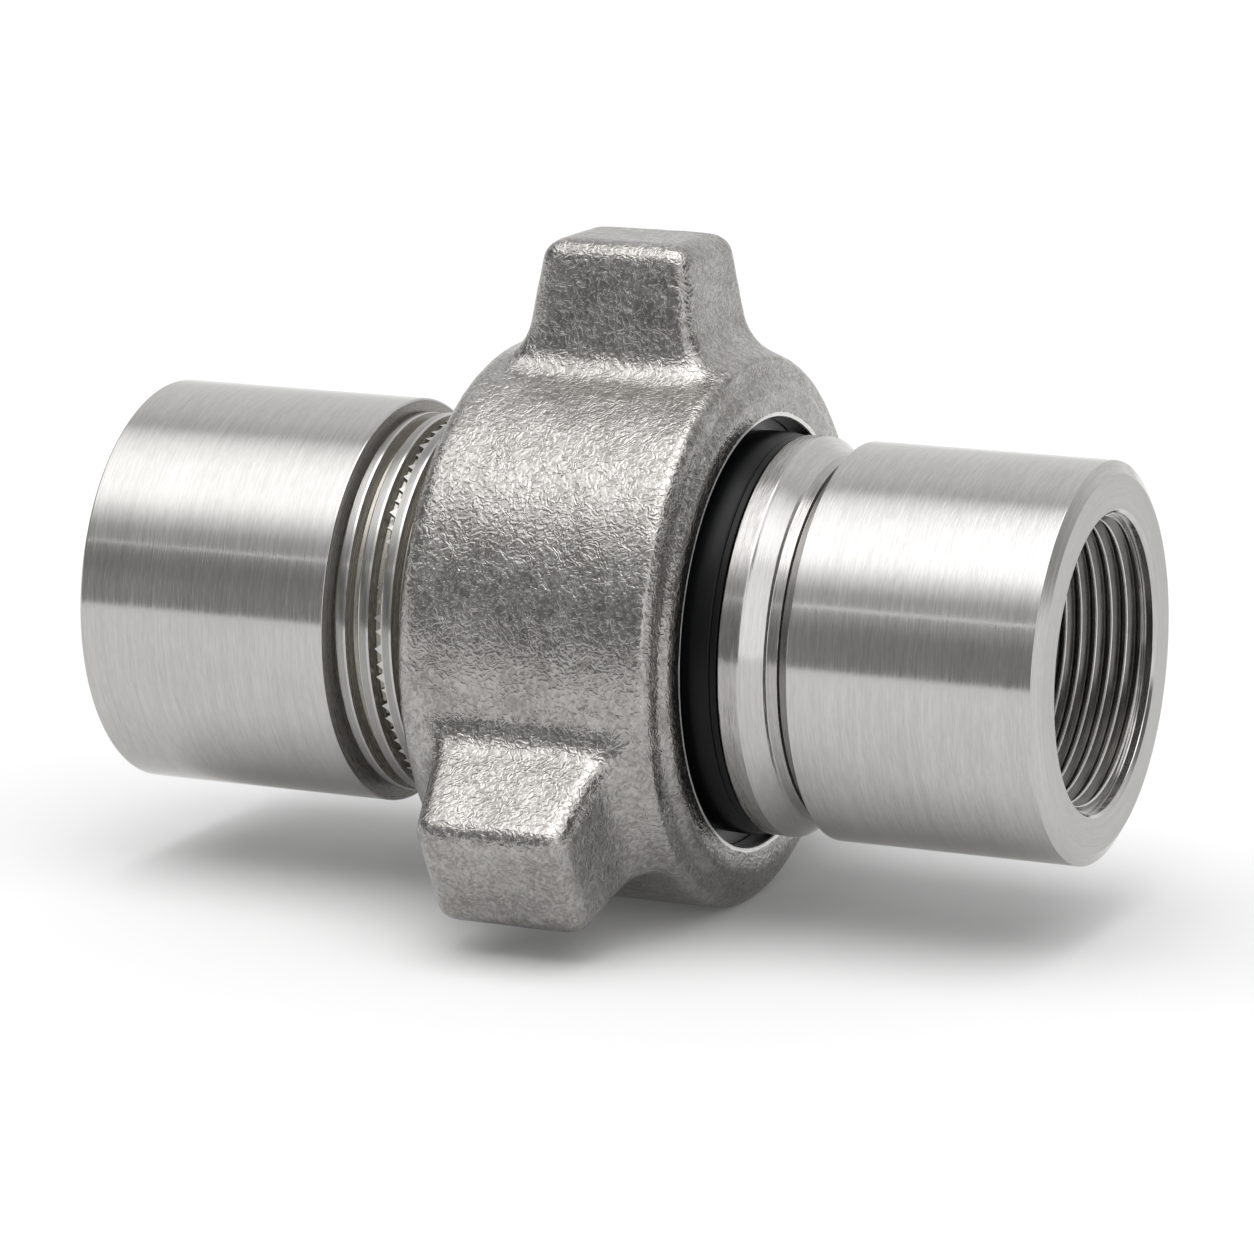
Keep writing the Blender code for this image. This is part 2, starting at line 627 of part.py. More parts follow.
def make_snap_ring(parts):
    """The open spring ring that keeps the segments from leaving the nut's chamber."""
    outline = [
        (SNAP_START, SNAP_INNER_RADIUS),
        (SNAP_START, SNAP_OUTER_RADIUS),
        (SNAP_END, SNAP_OUTER_RADIUS),
        (SNAP_END, SNAP_INNER_RADIUS),
    ]
    start = FIRST_LUG_DEGREES + SNAP_GAP_DEGREES / 2
    return ring_piece("snap_ring", outline, start, 360 - SNAP_GAP_DEGREES, FACETS, parts)


def main():
    clear_scene()
    parts = new_collection("hammer_union")
    cutters = new_collection("cutters")
    axis = carrier_empty("union_axis", None, parts)
    axis.location = (-OVERALL_LENGTH / 2, 0.0, AXIS_HEIGHT)
    nose_carrier = carrier_empty("nose_slide_axis", axis, parts)
    nut_carrier = carrier_empty("nut_turn_axis", nose_carrier, parts)

    sub_steel = finish_material("thread_sub_steel", (0.60, 0.60, 0.60), 0.25, 1.0)
    nose_steel = finish_material("nose_sub_steel", (0.62, 0.62, 0.62), 0.25, 1.0)
    cast_steel = finish_material("cast_steel", (0.45, 0.44, 0.42), 0.42, 1.0)
    snap_steel = finish_material("spring_steel", (0.30, 0.30, 0.31), 0.30, 1.0)
    seal_rubber = finish_material("seal_rubber", (0.03, 0.03, 0.03), 0.60, 0.0)
    ring_rubber = finish_material("ring_rubber", (0.015, 0.016, 0.018), 0.45, 0.0)
    finish(make_thread_sub(parts, cutters), sub_steel, axis)
    finish(make_lip_seal(parts), seal_rubber, axis)
    finish(make_nose_sub(parts), nose_steel, nose_carrier)
    finish(make_dust_ring(parts), ring_rubber, nose_carrier)
    finish(make_wing_nut(parts, cutters), cast_steel, nut_carrier)
    for index in range(SEGMENT_COUNT):
        segment_steel = finish_material(f"segment_steel_{index + 1}", (0.30, 0.30, 0.31), 0.35, 1.0)
        finish(make_segment(index, parts), segment_steel, nut_carrier)
    finish(make_snap_ring(parts), snap_steel, nut_carrier)
    bpy.context.view_layer.update()


main()
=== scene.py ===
"""Looks of the two-inch hammer union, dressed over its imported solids.

Metres, in the solids' own frame: the union's axis runs along +X at AXIS_HEIGHT
over the floor, the threaded sub on the left and the nose sub on the right.
Angles round the axis are measured from +Y towards +Z.
"""

import math

import bmesh
import bpy
import numpy as np
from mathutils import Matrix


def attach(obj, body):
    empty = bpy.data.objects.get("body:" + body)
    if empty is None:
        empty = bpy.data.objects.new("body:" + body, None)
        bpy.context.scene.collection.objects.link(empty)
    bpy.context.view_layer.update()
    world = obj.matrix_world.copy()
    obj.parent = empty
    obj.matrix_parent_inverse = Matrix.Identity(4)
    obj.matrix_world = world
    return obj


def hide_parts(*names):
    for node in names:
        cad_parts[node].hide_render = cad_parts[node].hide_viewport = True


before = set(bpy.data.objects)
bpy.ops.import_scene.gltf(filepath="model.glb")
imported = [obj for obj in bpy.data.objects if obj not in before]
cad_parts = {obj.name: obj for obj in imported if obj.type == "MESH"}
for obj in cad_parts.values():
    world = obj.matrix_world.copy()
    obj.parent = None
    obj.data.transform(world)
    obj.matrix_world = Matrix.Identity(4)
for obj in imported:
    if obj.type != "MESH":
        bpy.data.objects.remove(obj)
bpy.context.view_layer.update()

MM = 0.001
TURN = 2 * math.pi
QUARTER = math.pi / 2

# Radii
FLOW_BORE = 26.0 * MM
THREAD_GRIP = 41.6 * MM
MAJOR = 39.0 * MM
THREAD_ROOT = 36.1 * MM
SEAT_MOUTH = 33.0 * MM
THROAT = 29.8 * MM
POCKET = 30.6 * MM
NUT_BODY = 56.0 * MM
FLANGE_BORE = 43.4 * MM
CHAMBER = 47.2 * MM
NOSE_STEM = 32.45 * MM
NECK = 37.0 * MM
SHOULDER = 42.4 * MM
COLLAR = 40.2 * MM
CONE_FOOT = 37.35 * MM
BAND_C = 36.6 * MM
UNDERCUT = 35.9 * MM
NOSE_GRIP = 40.0 * MM
RING = 40.6 * MM
CLEARANCE = 0.30 * MM

# Height of the axis: the solid nut's body has 42 flats and rests on one
AXIS_HEIGHT = NUT_BODY * math.cos(math.pi / 42)

# Stations along the axis, from left to right
LEFT_FACE = -103.1 * MM
SUB_SHOULDER = -48.0 * MM
CREST_START = -46.7 * MM
NUT_START = -25.7 * MM
SEAL_END = -14.0 * MM
SEAT_THROAT = -5.0 * MM
NUT_THREAD_END = 5.7 * MM
SUB_END = 6.0 * MM
CHAMBER_START = 8.3 * MM
SHOULDER_START = 8.6 * MM
SHOULDER_END = 16.9 * MM
CHAMBER_END = 26.1 * MM
RING_START = 26.4 * MM
NUT_END = 31.1 * MM
RING_END = 36.8 * MM
COLLAR_START = 37.1 * MM
CONE_START = 41.5 * MM
BAND_C_START = 46.0 * MM
UNDERCUT_START = 48.25 * MM
NOSE_GRIP_START = 51.3 * MM
RIGHT_FACE = 103.1 * MM

# Coarse thread, shared by the sub and the nut. At PITCH_LINE groove and crest are equally wide
# but for the play, and GROOVE_DATUM is the middle of the sub's groove at angle 0.
PITCH = 5.08 * MM
PITCH_LINE = MAJOR
FLANK_SHARE = math.tan(math.radians(14.5))
FLANK_PLAY = 0.36 * MM
FLANK_END = 0.07
CREST_PLAY = 0.45 * MM
CREST_EDGE = 0.21 * MM
SUB_LEAD = 2.6 * MM
GROOVE_DATUM = -45.563 * MM - PITCH * math.radians(-17.1429) / TURN

# Pipe threads in both sockets; the form is (share of the pitch, share of the depth)
PIPE_PITCH = 3.175 * MM
PIPE_CREST = 28.3 * MM
PIPE_DEPTH = 1.35 * MM
PIPE_TAPER = 1 / 32
PIPE_LENGTH = 35.3 * MM
PIPE_FORM = ((0.0, 0.0), (0.04, 0.01), (0.08, 0.10), (0.40, 0.88), (0.46, 0.98),
             (0.54, 0.98), (0.60, 0.88), (0.92, 0.10), (0.96, 0.01))
PIPE_EDGE = 0.07 * PIPE_DEPTH

# Mouths of the sockets; the relief is (mm before the thread, mm over the mouth's radius)
MOUTH_RADIUS = 29.7 * MM
MOUTH_LENGTH = 2.7 * MM
MOUTH_RELIEF = ((0.55, 0.0), (0.45, 0.25), (0.15, 0.25), (0.05, 0.0), (0.0, -0.1))
COUNTERSINK = 0.7 * MM

# The nut's casting: rounded edges, lugs as (length along, width across), dished back face
NUT_ROUNDING = 4.8 * MM
FACE_INNER = 43.0 * MM
LUG_HEIGHT = 22.8 * MM
LUG_FOOT = (37.5 * MM, 32.5 * MM)
LUG_TIP = (32.5 * MM, 26.5 * MM)
LUG_EDGE = 4.7 * MM
LUG_CORNER = 3.7 * MM
LUG_FILLET_ALONG = 7.4 * MM
LUG_FILLET_ACROSS = 4.6 * MM
LUG_ROOT = 2.5 * MM
LUG_FLANK = LUG_HEIGHT - LUG_EDGE
RIDGE_ROUNDING = 1.5 * MM
RIDGE_DEPTH = 3.7 * MM
RIDGE_SWEEP = math.radians(62)
FACE_COVE = ((2.75, 54.9), (2.3, 53.9), (2.05, 52.9), (1.9, 51.9), (1.7, 51.1), (1.2, 50.5),
             (0.5, 49.9), (0.15, 49.1), (0.0, 48.2), (0.03, 47.0), (0.10, 46.0), (0.22, 45.0))

# What is machined out of the nut
NUT_CREST = THREAD_ROOT + CREST_PLAY
NUT_ROOT = MAJOR + CREST_PLAY
NUT_MOUTH = 3.8 * MM
SNAP_GROOVE = 45.6 * MM
SNAP_GROOVE_START = 13.9 * MM
FLANGE_START = CHAMBER_END + 0.5 * MM
BORE_LAND = 44.1 * MM
BORE_LAND_AT = NUT_END - 0.38 * MM
BORE_FLARE = 2.0
BORE_BEVEL = 0.30 * MM
CUTTER_REACH = 3.0 * MM

# Loose parts inside the nut
RETAINER_START, RETAINER_END = 17.2 * MM, 25.8 * MM
RETAINER_OUTER = 46.9 * MM
RETAINER_FIRST = math.radians(91.5)
RETAINER_SWEEP = math.radians(117)
SNAP_START, SNAP_END = 14.2 * MM, 16.6 * MM
SNAP_INNER, SNAP_OUTER = 42.7 * MM, 45.3 * MM
SNAP_FIRST = math.radians(94.5)
SNAP_SWEEP = math.radians(351)

# Burrs on one turn of the sub's coarse thread
TEETH = 79
TOOTH_WIDTH = 2.7 * MM
TOOTH_REACH = 1.7 * MM
TOOTH_DEPTH = 1.6 * MM
TOOTH_FOOT = 0.35 * MM
TOOTH_SINK = 0.1 * MM

# Mesh fineness, and how near an edge a face is told from its neighbour
SEGMENTS = 288
FEWER_SEGMENTS = 160
CUTTER_SEGMENTS = 192
ARC_SEGMENTS = 64
EASE_LIMIT = 0.45
MERGE = 0.002 * MM
SHARP = math.radians(34)
CAST_SHARP = math.radians(40)
VOXEL = 0.72 * MM
HAIR = 0.02 * MM
NEAR = 0.05 * MM

# Finish slots of the two subs, and of the nut
PLAIN, GROOVE, FACED, BAND, SOCKET, CREST = range(6)
CAST, MACHINED, FLANGE, EDGE = range(4)

# Turning marks follow the station plus this share of the radius, so that faces get them too
FACE_SHARE = -1.3

# Studio; the box overhead is (place from the front horizon to the back one, brightness)
DAYLIGHT = 1.20
FLOOR_FRONT = -0.66
FLOOR_REACH = 3.0
FLOOR_GREY = 0.705
FLOOR_LIFT = 0.06
FLOOR_GAP = 0.02 * MM
OVERHEAD = ((0.00, 0.30), (0.09, 0.31), (0.15, 0.46), (0.22, 0.50), (0.26, 0.90),
            (0.31, 1.50), (0.35, 1.75), (0.45, 1.72), (0.53, 1.38), (0.575, 1.00),
            (0.61, 0.60), (0.70, 0.74), (0.88, 0.78), (1.00, 0.95))

# Camera: place, turn and rise in degrees, and focal length on a 36 mm sensor
CAMERA_PLACE = (0.46942, -1.05717, 0.30439)
CAMERA_TURN = 23.932
CAMERA_RISE = 12.2025
CAMERA_LENS = 167.47


class Graph:
    """A node tree, for a finish, the studio or a shape."""

    def __init__(self, tree):
        self.tree = tree
        tree.nodes.clear()

    def make(self, kind, settings=None, inputs=None, output=0):
        """Add a node with its settings, then the values or links of its sockets.

        output is the socket that is wanted, or a tuple of them.
        """
        node = self.tree.nodes.new(kind)
        for name, value in (settings or {}).items():
            if name == "stops":
                fill_ramp(node.color_ramp, value)
            else:
                setattr(node, name, value)
        for key, value in (inputs or {}).items():
            if isinstance(value, Wire):
                self.tree.links.new(value.socket, node.inputs[key])
            else:
                node.inputs[key].default_value = value
        if isinstance(output, tuple):
            return [Wire(self, node.outputs[key]) for key in output]
        return Wire(self, node.outputs[output]) if node.outputs else None

    def math(self, operation, *values):
        """A Math node."""
        return self.make("ShaderNodeMath", {"operation": operation}, dict(enumerate(values)))

    def vector(self, operation, *values):
        """A Vector Math node."""
        return self.make("ShaderNodeVectorMath", {"operation": operation}, dict(enumerate(values)))

    def scaled(self, vector, factor):
        """A vector times a number."""
        return self.make("ShaderNodeVectorMath", {"operation": "SCALE"},
                         {0: vector, "Scale": factor})

    def join(self, x, y, z):
        """A vector from its three parts."""
        return self.make("ShaderNodeCombineXYZ", None, {0: x, 1: y, 2: z})

    def split(self, vector):
        """The three parts of a vector."""
        return self.make("ShaderNodeSeparateXYZ", None, {0: vector}, (0, 1, 2))

    def blend(self, factor, first, second):
        """The first colour where factor is 0, the second where it is 1."""
        return self.make("ShaderNodeMix", {"data_type": "RGBA"},
                         {0: factor, 6: first, 7: second}, 2)

    def noise(self, vector, scale, detail=2.0, roughness=0.5, distortion=0.0, output=0):
        """Noise from 0 to 1; in metres, a scale of 1000 gives grains about a millimetre apart."""
        return self.make("ShaderNodeTexNoise", None, {
            "Vector": vector, "Scale": scale, "Detail": detail,
            "Roughness": roughness, "Distortion": distortion,
        }, output)

    def bump(self, height, distance, strength=1.0):
        """A normal from a height that goes from 0 to 1 over this distance."""
        return self.make("ShaderNodeBump", None, {
            "Strength": strength, "Distance": distance, "Height": height})

    def random(self, low, high, seed):
        """A number for each point, the same on every run."""
        return self.make("FunctionNodeRandomValue", {"data_type": "FLOAT"},
                         {2: low, 3: high, "Seed": seed}, 1)


def operator(operation, reflected=False):
    """A Python operator of Wire that adds a Math node."""
    def apply(wire, other):
        values = (other, wire) if reflected else (wire, other)
        return wire.graph.math(operation, *values)
    return apply


class Wire:
    """One output of a node, used in sums as a number is."""

    def __init__(self, graph, socket):
        self.graph, self.socket = graph, socket

    __add__, __radd__ = operator("ADD"), operator("ADD", True)
    __sub__, __rsub__ = operator("SUBTRACT"), operator("SUBTRACT", True)
    __mul__, __rmul__ = operator("MULTIPLY"), operator("MULTIPLY", True)
    __truediv__, __rtruediv__ = operator("DIVIDE"), operator("DIVIDE", True)

    def __neg__(self):
        return self * -1.0

    def __abs__(self):
        return self.graph.math("ABSOLUTE", self)

    def between(self, low, high, to_low=0.0, to_high=1.0):
        """Goes smoothly from to_low to to_high as this goes from low to high."""
        return self.graph.make(
            "ShaderNodeMapRange", {"interpolation_type": "SMOOTHSTEP", "clamp": True},
            {0: self, 1: low, 2: high, 3: to_low, 4: to_high})

    def falling(self, low, high):
        """Falls smoothly from 1 to 0 as this goes from low to high."""
        return self.between(low, high, 1.0, 0.0)

    def within(self, low, full, last, high):
        """Is 1 from full to last, and fades to 0 at low and high."""
        return self.between(low, full) * self.falling(last, high)


def fill_ramp(ramp, stops):
    """Set a colour ramp from (place, grey) pairs."""
    while len(ramp.elements) < len(stops):
        ramp.elements.new(1.0)
    for element, (place, level) in zip(ramp.elements, stops):
        element.position = place
        element.color = grey(level)


def grey(level):
    """An opaque grey."""
    return (level, level, level, 1.0)


def new_finish(name):
    """A new material, its graph, and its Object coordinates measured from the union's axis."""
    material = bpy.data.materials.new(name)
    material.use_nodes = True
    graph = Graph(material.node_tree)
    place = graph.make("ShaderNodeTexCoord", output="Object")
    return material, graph, graph.vector("SUBTRACT", place, (0.0, 0.0, AXIS_HEIGHT))


def close_finish(graph, values):
    """End a finish in a Principled shader with these values and links."""
    shader = graph.make("ShaderNodeBsdfPrincipled", None, values)
    graph.make("ShaderNodeOutputMaterial", None, {0: shader})


def turned_steel(name, light, dark, roughness, grain=1.0, metallic=1.0):
    """Lathe-turned stainless steel: fine marks run round the axis, on faces and cones too."""
    material, graph, place = new_finish(name)
    x, y, z = graph.split(place)
    along = x + graph.math("SQRT", y * y + z * z) * FACE_SHARE
    fine = graph.noise(graph.join(along * 3500.0, y * 150.0, z * 150.0), 1.0, 2.0, 0.6)
    short = graph.noise(graph.join(along * 2600.0 + 40.0, y * 390.0, z * 390.0), 1.0, 1.0)
    bands = graph.noise(graph.join(along * 740.0, y * 20.0, z * 20.0), 1.0, 2.0, 0.6)
    cloud = graph.noise(place, 45.0, 3.0, 0.55)
    marks = fine * 0.6 + short * 0.4
    tone = (marks - 0.5) * 1.2 + (bands - 0.5) * 0.55 + (cloud - 0.5) * 0.35 + 0.5
    rough = (marks - 0.5) * 0.16 + (bands - 0.5) * 0.08 + (cloud - 0.5) * 0.04 + roughness
    close_finish(graph, {
        "Base Color": graph.blend(tone.between(0.15, 0.85), (*dark, 1.0), (*light, 1.0)),
        "Metallic": metallic,
        "Roughness": rough,
        "Normal": graph.bump(marks * 0.7 + bands * 0.3, 0.00004 * grain),
    })
    return material


def cast_skin(name, light, dark):
    """Blasted investment casting: a close, wrinkled skin that glints on its crests."""
    material, graph, place = new_finish(name)
    drift = graph.noise(place, 620.0, 1.0, output="Color")
    drift = graph.vector("SUBTRACT", drift, (0.5, 0.5, 0.5))
    bent = graph.vector("ADD", place, graph.scaled(drift, 0.0014))
    wrinkle = graph.noise(bent, 980.0, 1.5, 0.5, 0.9)
    pebble = graph.noise(bent, 1900.0, 1.0, 0.5, 0.3)
    broad = graph.noise(place, 150.0, 2.0)
    swirl = graph.noise(bent, 210.0, 1.0, 0.4, 0.5)
    ripples = graph.math("SINE", swirl * 62.0)
    tone = wrinkle * 0.5 + ripples * 0.05 + pebble * 0.2 + broad * 0.3
    close_finish(graph, {
        "Base Color": graph.blend(tone.between(0.32, 0.68), (*dark, 1.0), (*light, 1.0)),
        "Metallic": 1.0,
        "Roughness": 0.19 + (pebble - 0.5) * 0.12 + (broad - 0.5) * 0.10,
        "Normal": graph.bump(ripples * 0.10 + wrinkle * 0.85 + pebble * 0.25, 0.0002),
    })
    return material


def rubber(name, shade):
    """Black moulded rubber with a satin bloom."""
    material, graph, place = new_finish(name)
    x, y, z = graph.split(place)
    grain = graph.noise(place, 2600.0, 2.0, 0.6)
    bloom = graph.noise(graph.join(x * 300.0, y * 35.0, z * 35.0), 1.0, 3.0, 0.6)
    dark = (value * 0.6 for value in shade)
    close_finish(graph, {
        "Base Color": graph.blend(bloom.between(0.3, 0.75), (*dark, 1.0), (*shade, 1.0)),
        "Roughness": bloom * 0.16 + grain * 0.06 + 0.24,
        "Normal": graph.bump(grain, 0.00003, 0.18),
        "Specular IOR Level": 0.16,
    })
    return material


def held(value, low, high):
    """The value, held between two limits."""
    return min(max(value, low), high)


def arc(along, out, radius, first, last, steps):
    """Points on a stretch of a circle round (along, out), from one angle to another."""
    turns = [first + (last - first) * step / steps for step in range(steps + 1)]
    return [(along + radius * math.cos(turn), out + radius * math.sin(turn)) for turn in turns]


class Thread:
    """A stretch of a section that is a helical thread between two stations.

    form lists (share of the pitch, rise over base), base gives the radius at a station,
    and datum is the station of share 0 at angle 0.
    """

    def __init__(self, start, end, pitch, datum, form, base, backwards=False):
        self.start, self.end, self.pitch, self.datum = start, end, pitch, datum
        self.form, self.base, self.backwards = form, base, backwards
        self.first = math.floor((start - datum) / pitch) - 2
        self.last = math.ceil((end - datum) / pitch) + 1

    def flipped(self):
        """The same thread walked the other way."""
        return Thread(self.start, self.end, self.pitch, self.datum, self.form, self.base,
                      not self.backwards)

    def rise(self, station, angle):
        """Height over base at a station and angle."""
        share = ((station - self.datum) / self.pitch - angle / TURN) % 1.0
        shares, rises = zip(*self.form)
        shares = (shares[-1] - 1, *shares, shares[0] + 1)
        return np.interp(share, shares, (rises[-1], *rises, rises[0]))

    def rows(self, angle):
        """Points (station, radius) of the thread at one angle, held between its two ends."""
        points = []
        for turn in range(self.first, self.last + 1):
            for place, height in self.form:
                station = self.datum + self.pitch * (turn + place + angle / TURN)
                if station < self.start or station > self.end:
                    station = held(station, self.start, self.end)
                    height = self.rise(station, angle)
                points.append((station, self.base(station) + height))
        return points[::-1] if self.backwards else points


def eased(outline, steps=3):
    """Round the corners of a closed outline: a point is (station, radius, ease in mm) or a Thread.

    A corner beside a Thread stays as it is, and no ease takes more than its share of a side.
    """
    made = []
    for index, item in enumerate(outline):
        if isinstance(item, Thread):
            made.append(item)
            continue
        here, ease = np.array(item[:2]), item[2] * MM
        before, after = outline[index - 1], outline[(index + 1) % len(outline)]
        if ease == 0.0 or isinstance(before, Thread) or isinstance(after, Thread):
            made.append((here[0], here[1]))
            continue
        back, forth = np.array(before[:2]) - here, np.array(after[:2]) - here
        from_here = here + back * min(ease / np.linalg.norm(back), EASE_LIMIT)
        to_here = here + forth * min(ease / np.linalg.norm(forth), EASE_LIMIT)
        for step in range(steps + 1):
            share = step / steps
            point = (from_here * (1 - share) ** 2 + here * 2 * share * (1 - share)
                     + to_here * share ** 2)
            made.append((point[0], point[1]))
    return made


def section_rows(section, angle):
    """All points of a section at one angle."""
    points = []
    for item in section:
        points += item.rows(angle) if isinstance(item, Thread) else [item]
    return points


def tidy_mesh(mesh):
    """Merge doubles, drop slivers and turn faces outwards."""
    work = bmesh.new()
    work.from_mesh(mesh)
    bmesh.ops.remove_doubles(work, verts=work.verts, dist=MERGE)
    bmesh.ops.dissolve_degenerate(work, dist=MERGE / 4, edges=work.edges)
    bmesh.ops.recalc_face_normals(work, faces=work.faces)
    work.to_mesh(mesh)
    work.free()


def new_mesh(name, corners, faces):
    """A clean mesh from its corners and faces."""
    mesh = bpy.data.meshes.new(name)
    mesh.from_pydata(corners, [], faces)
    tidy_mesh(mesh)
    return mesh


def place_object(name, mesh, *materials):
    """A mesh as an object of the scene, with its material slots."""
    for material in materials:
        mesh.materials.append(material)
    made = bpy.data.objects.new(name, mesh)
    bpy.context.scene.collection.objects.link(made)
    return made


def modify(piece, name, kind, **settings):
    """Add a modifier with its settings."""
    modifier = piece.modifiers.new(name, kind)
    for key, value in settings.items():
        setattr(modifier, key, value)
    return modifier


def plain(piece):
    """Turn a piece's live modifiers into its mesh."""
    seen = piece.evaluated_get(bpy.context.evaluated_depsgraph_get())
    mesh = bpy.data.meshes.new_from_object(seen)
    piece.modifiers.clear()
    piece.data = mesh
    mesh.name = piece.name
    return piece


def zone(mesh, pick):
    """Choose each face's finish slot from its station and its distance from the axis."""
    slots = []
    for face in mesh.polygons:
        x, y, z = face.center
        slots.append(pick(x, math.hypot(y, z - AXIS_HEIGHT)))
    mesh.polygons.foreach_set("material_index", slots)


def turned_mesh(name, section, segments=SEGMENTS, start=0.0, sweep=TURN):
    """A section swept round the union's axis; a sweep short of a full turn gets flat ends."""
    angles = start + sweep * np.arange(segments + 1) / segments
    grid = np.array([section_rows(section, angle) for angle in angles])
    count = grid.shape[1]
    corners = np.stack([
        grid[:, :, 0],
        grid[:, :, 1] * np.cos(angles)[:, None],
        grid[:, :, 1] * np.sin(angles)[:, None] + AXIS_HEIGHT,
    ], axis=2).reshape(-1, 3)
    row_start = np.arange(segments)[:, None] * count
    here = row_start + np.arange(count)[None, :]
    beside = row_start + (np.arange(count) + 1)[None, :] % count
    faces = np.stack([here, beside, beside + count, here + count], axis=2).reshape(-1, 4).tolist()
    if sweep < TURN:
        faces += [list(range(count))[::-1], list(range(segments * count, (segments + 1) * count))]
    return new_mesh(name, corners.tolist(), faces)


def turned_piece(name, outline, finishes, pick=None, **sweep):
    """A whole turned piece: eased and swept, with its finishes, flat faces and sharp edges."""
    mesh = turned_mesh(name, eased(outline), **sweep)
    piece = place_object(name, mesh, *finishes)
    if pick:
        zone(mesh, pick)
    mesh.shade_smooth()
    mesh.set_sharp_from_angle(angle=SHARP)
    modify(piece, "weigh", "WEIGHTED_NORMAL", keep_sharp=True)
    return plain(piece)


def groove_half(radius, outward):
    """Half the coarse groove's width at a radius, as a share of the pitch.

    outward is 1 where the groove opens away from the axis, and -1 where it opens towards it.
    """
    half = PITCH / 4 + FLANK_PLAY / 2
    return (half + outward * (radius - PITCH_LINE) * FLANK_SHARE) / PITCH


def coarse_thread(start, end, root, crest, datum, ease):
    """The coarse thread between two stations, its crest outside its root or inside it."""
    outward = 1 if crest > root else -1
    root_half, crest_half = groove_half(root, outward), groove_half(crest, outward)
    lean, rise = crest_half - root_half, root - crest
    half = [
        (0.0, rise),
        (root_half - ease, rise),
        (root_half + lean * FLANK_END, rise * (1 - FLANK_END)),
        (crest_half - lean * FLANK_END, rise * FLANK_END),
        (crest_half + ease * 0.8, 0.0),
    ]
    form = half + [(1 - share, height) for share, height in half[:0:-1]]
    return Thread(start, end, PITCH, datum, form, lambda station: crest)


def socket_section(face, inward):
    """Section of a socket from its face inwards to the flow bore, with its tapered thread."""
    near = face + inward * MOUTH_LENGTH
    far = near + inward * PIPE_LENGTH
    form = [(share, rise * PIPE_DEPTH) for share, rise in PIPE_FORM]
    thread = Thread(min(near, far), max(near, far), PIPE_PITCH, near, form,
                    lambda station: PIPE_CREST - abs(station - near) * PIPE_TAPER,
                    backwards=inward < 0)
    return [
        (face, MOUTH_RADIUS + COUNTERSINK, 0.15),
        (face + inward * COUNTERSINK, MOUTH_RADIUS, 0.15),
        *((near - inward * before * MM, MOUTH_RADIUS + over * MM, 0.0)
          for before, over in MOUTH_RELIEF),
        thread,
        (far, FLOW_BORE + 0.4 * MM, 0.0),
        (far + inward * 0.4 * MM, FLOW_BORE, 0.0),
    ]


def walked_back(section):
    """The same section walked the other way."""
    return [item.flipped() if isinstance(item, Thread) else item for item in section[::-1]]


def socket_zone(depth, radius):
    """Slot of a face at a depth in a socket."""
    depth -= MOUTH_LENGTH
    if depth < 0.0 or depth > PIPE_LENGTH or radius > THROAT:
        return PLAIN
    # In the socket thread, the crest tips get the near-white painted highlight and the rest gets
    # the dark painted shade.
    return CREST if radius < PIPE_CREST - depth * PIPE_TAPER + PIPE_EDGE else SOCKET


def thread_sub_zone(x, radius):
    """Slot of a face of the threaded sub."""
    if x < LEFT_FACE + HAIR:
        return FACED
    if x <= SUB_SHOULDER + HAIR or radius <= SEAT_MOUTH + MM:
        return socket_zone(x - LEFT_FACE, radius)
    if x < CREST_START:
        return BAND
    if radius < MAJOR - CREST_EDGE:
        return GROOVE
    return FACED if radius > MAJOR - HAIR else PLAIN


def make_thread_sub(*finishes):
    """The left sub: grip, relief and coarse thread outside, seat, seal pocket and socket inside."""
    outside = [
        (LEFT_FACE, THREAD_GRIP, 0.45),
        (SUB_SHOULDER, THREAD_GRIP, 0.40),
        (SUB_SHOULDER + 0.25 * MM, THREAD_ROOT + 0.9 * MM, 0.3),
        (SUB_SHOULDER + 0.7 * MM, THREAD_ROOT, 0.4),
        (CREST_START, THREAD_ROOT, 0.0),
        coarse_thread(CREST_START, SUB_END - SUB_LEAD, THREAD_ROOT, MAJOR, GROOVE_DATUM, 0.08),
        (SUB_END, MAJOR - SUB_LEAD, 0.3),
    ]
    inside = [
        (SUB_END, SEAT_MOUTH, 0.3),
        (SEAT_THROAT, THROAT, 0.2),
        (SEAT_THROAT, POCKET, 0.0),
        (SEAL_END, POCKET, 0.0),
        (SEAL_END, FLOW_BORE, 0.3),
    ]
    outline = outside + inside + walked_back(socket_section(LEFT_FACE, 1))
    return turned_piece("thread_sub_turning", outline, finishes, thread_sub_zone)


def nose_sub_zone(x, radius):
    """Slot of a face of the nose sub."""
    if x > RIGHT_FACE - HAIR:
        return FACED
    if x > NOSE_GRIP_START:
        return socket_zone(RIGHT_FACE - x, radius)
    if x >= NOSE_GRIP_START - HAIR or radius <= NECK - 1.5 * MM:
        return PLAIN
    # The undercut takes the dark steel, a painted shade line beside the grip.
    if x > UNDERCUT_START:
        return GROOVE
    banded = COLLAR_START < x < CONE_START - 0.3 * MM or x > BAND_C_START + 0.2 * MM
    return BAND if banded else PLAIN


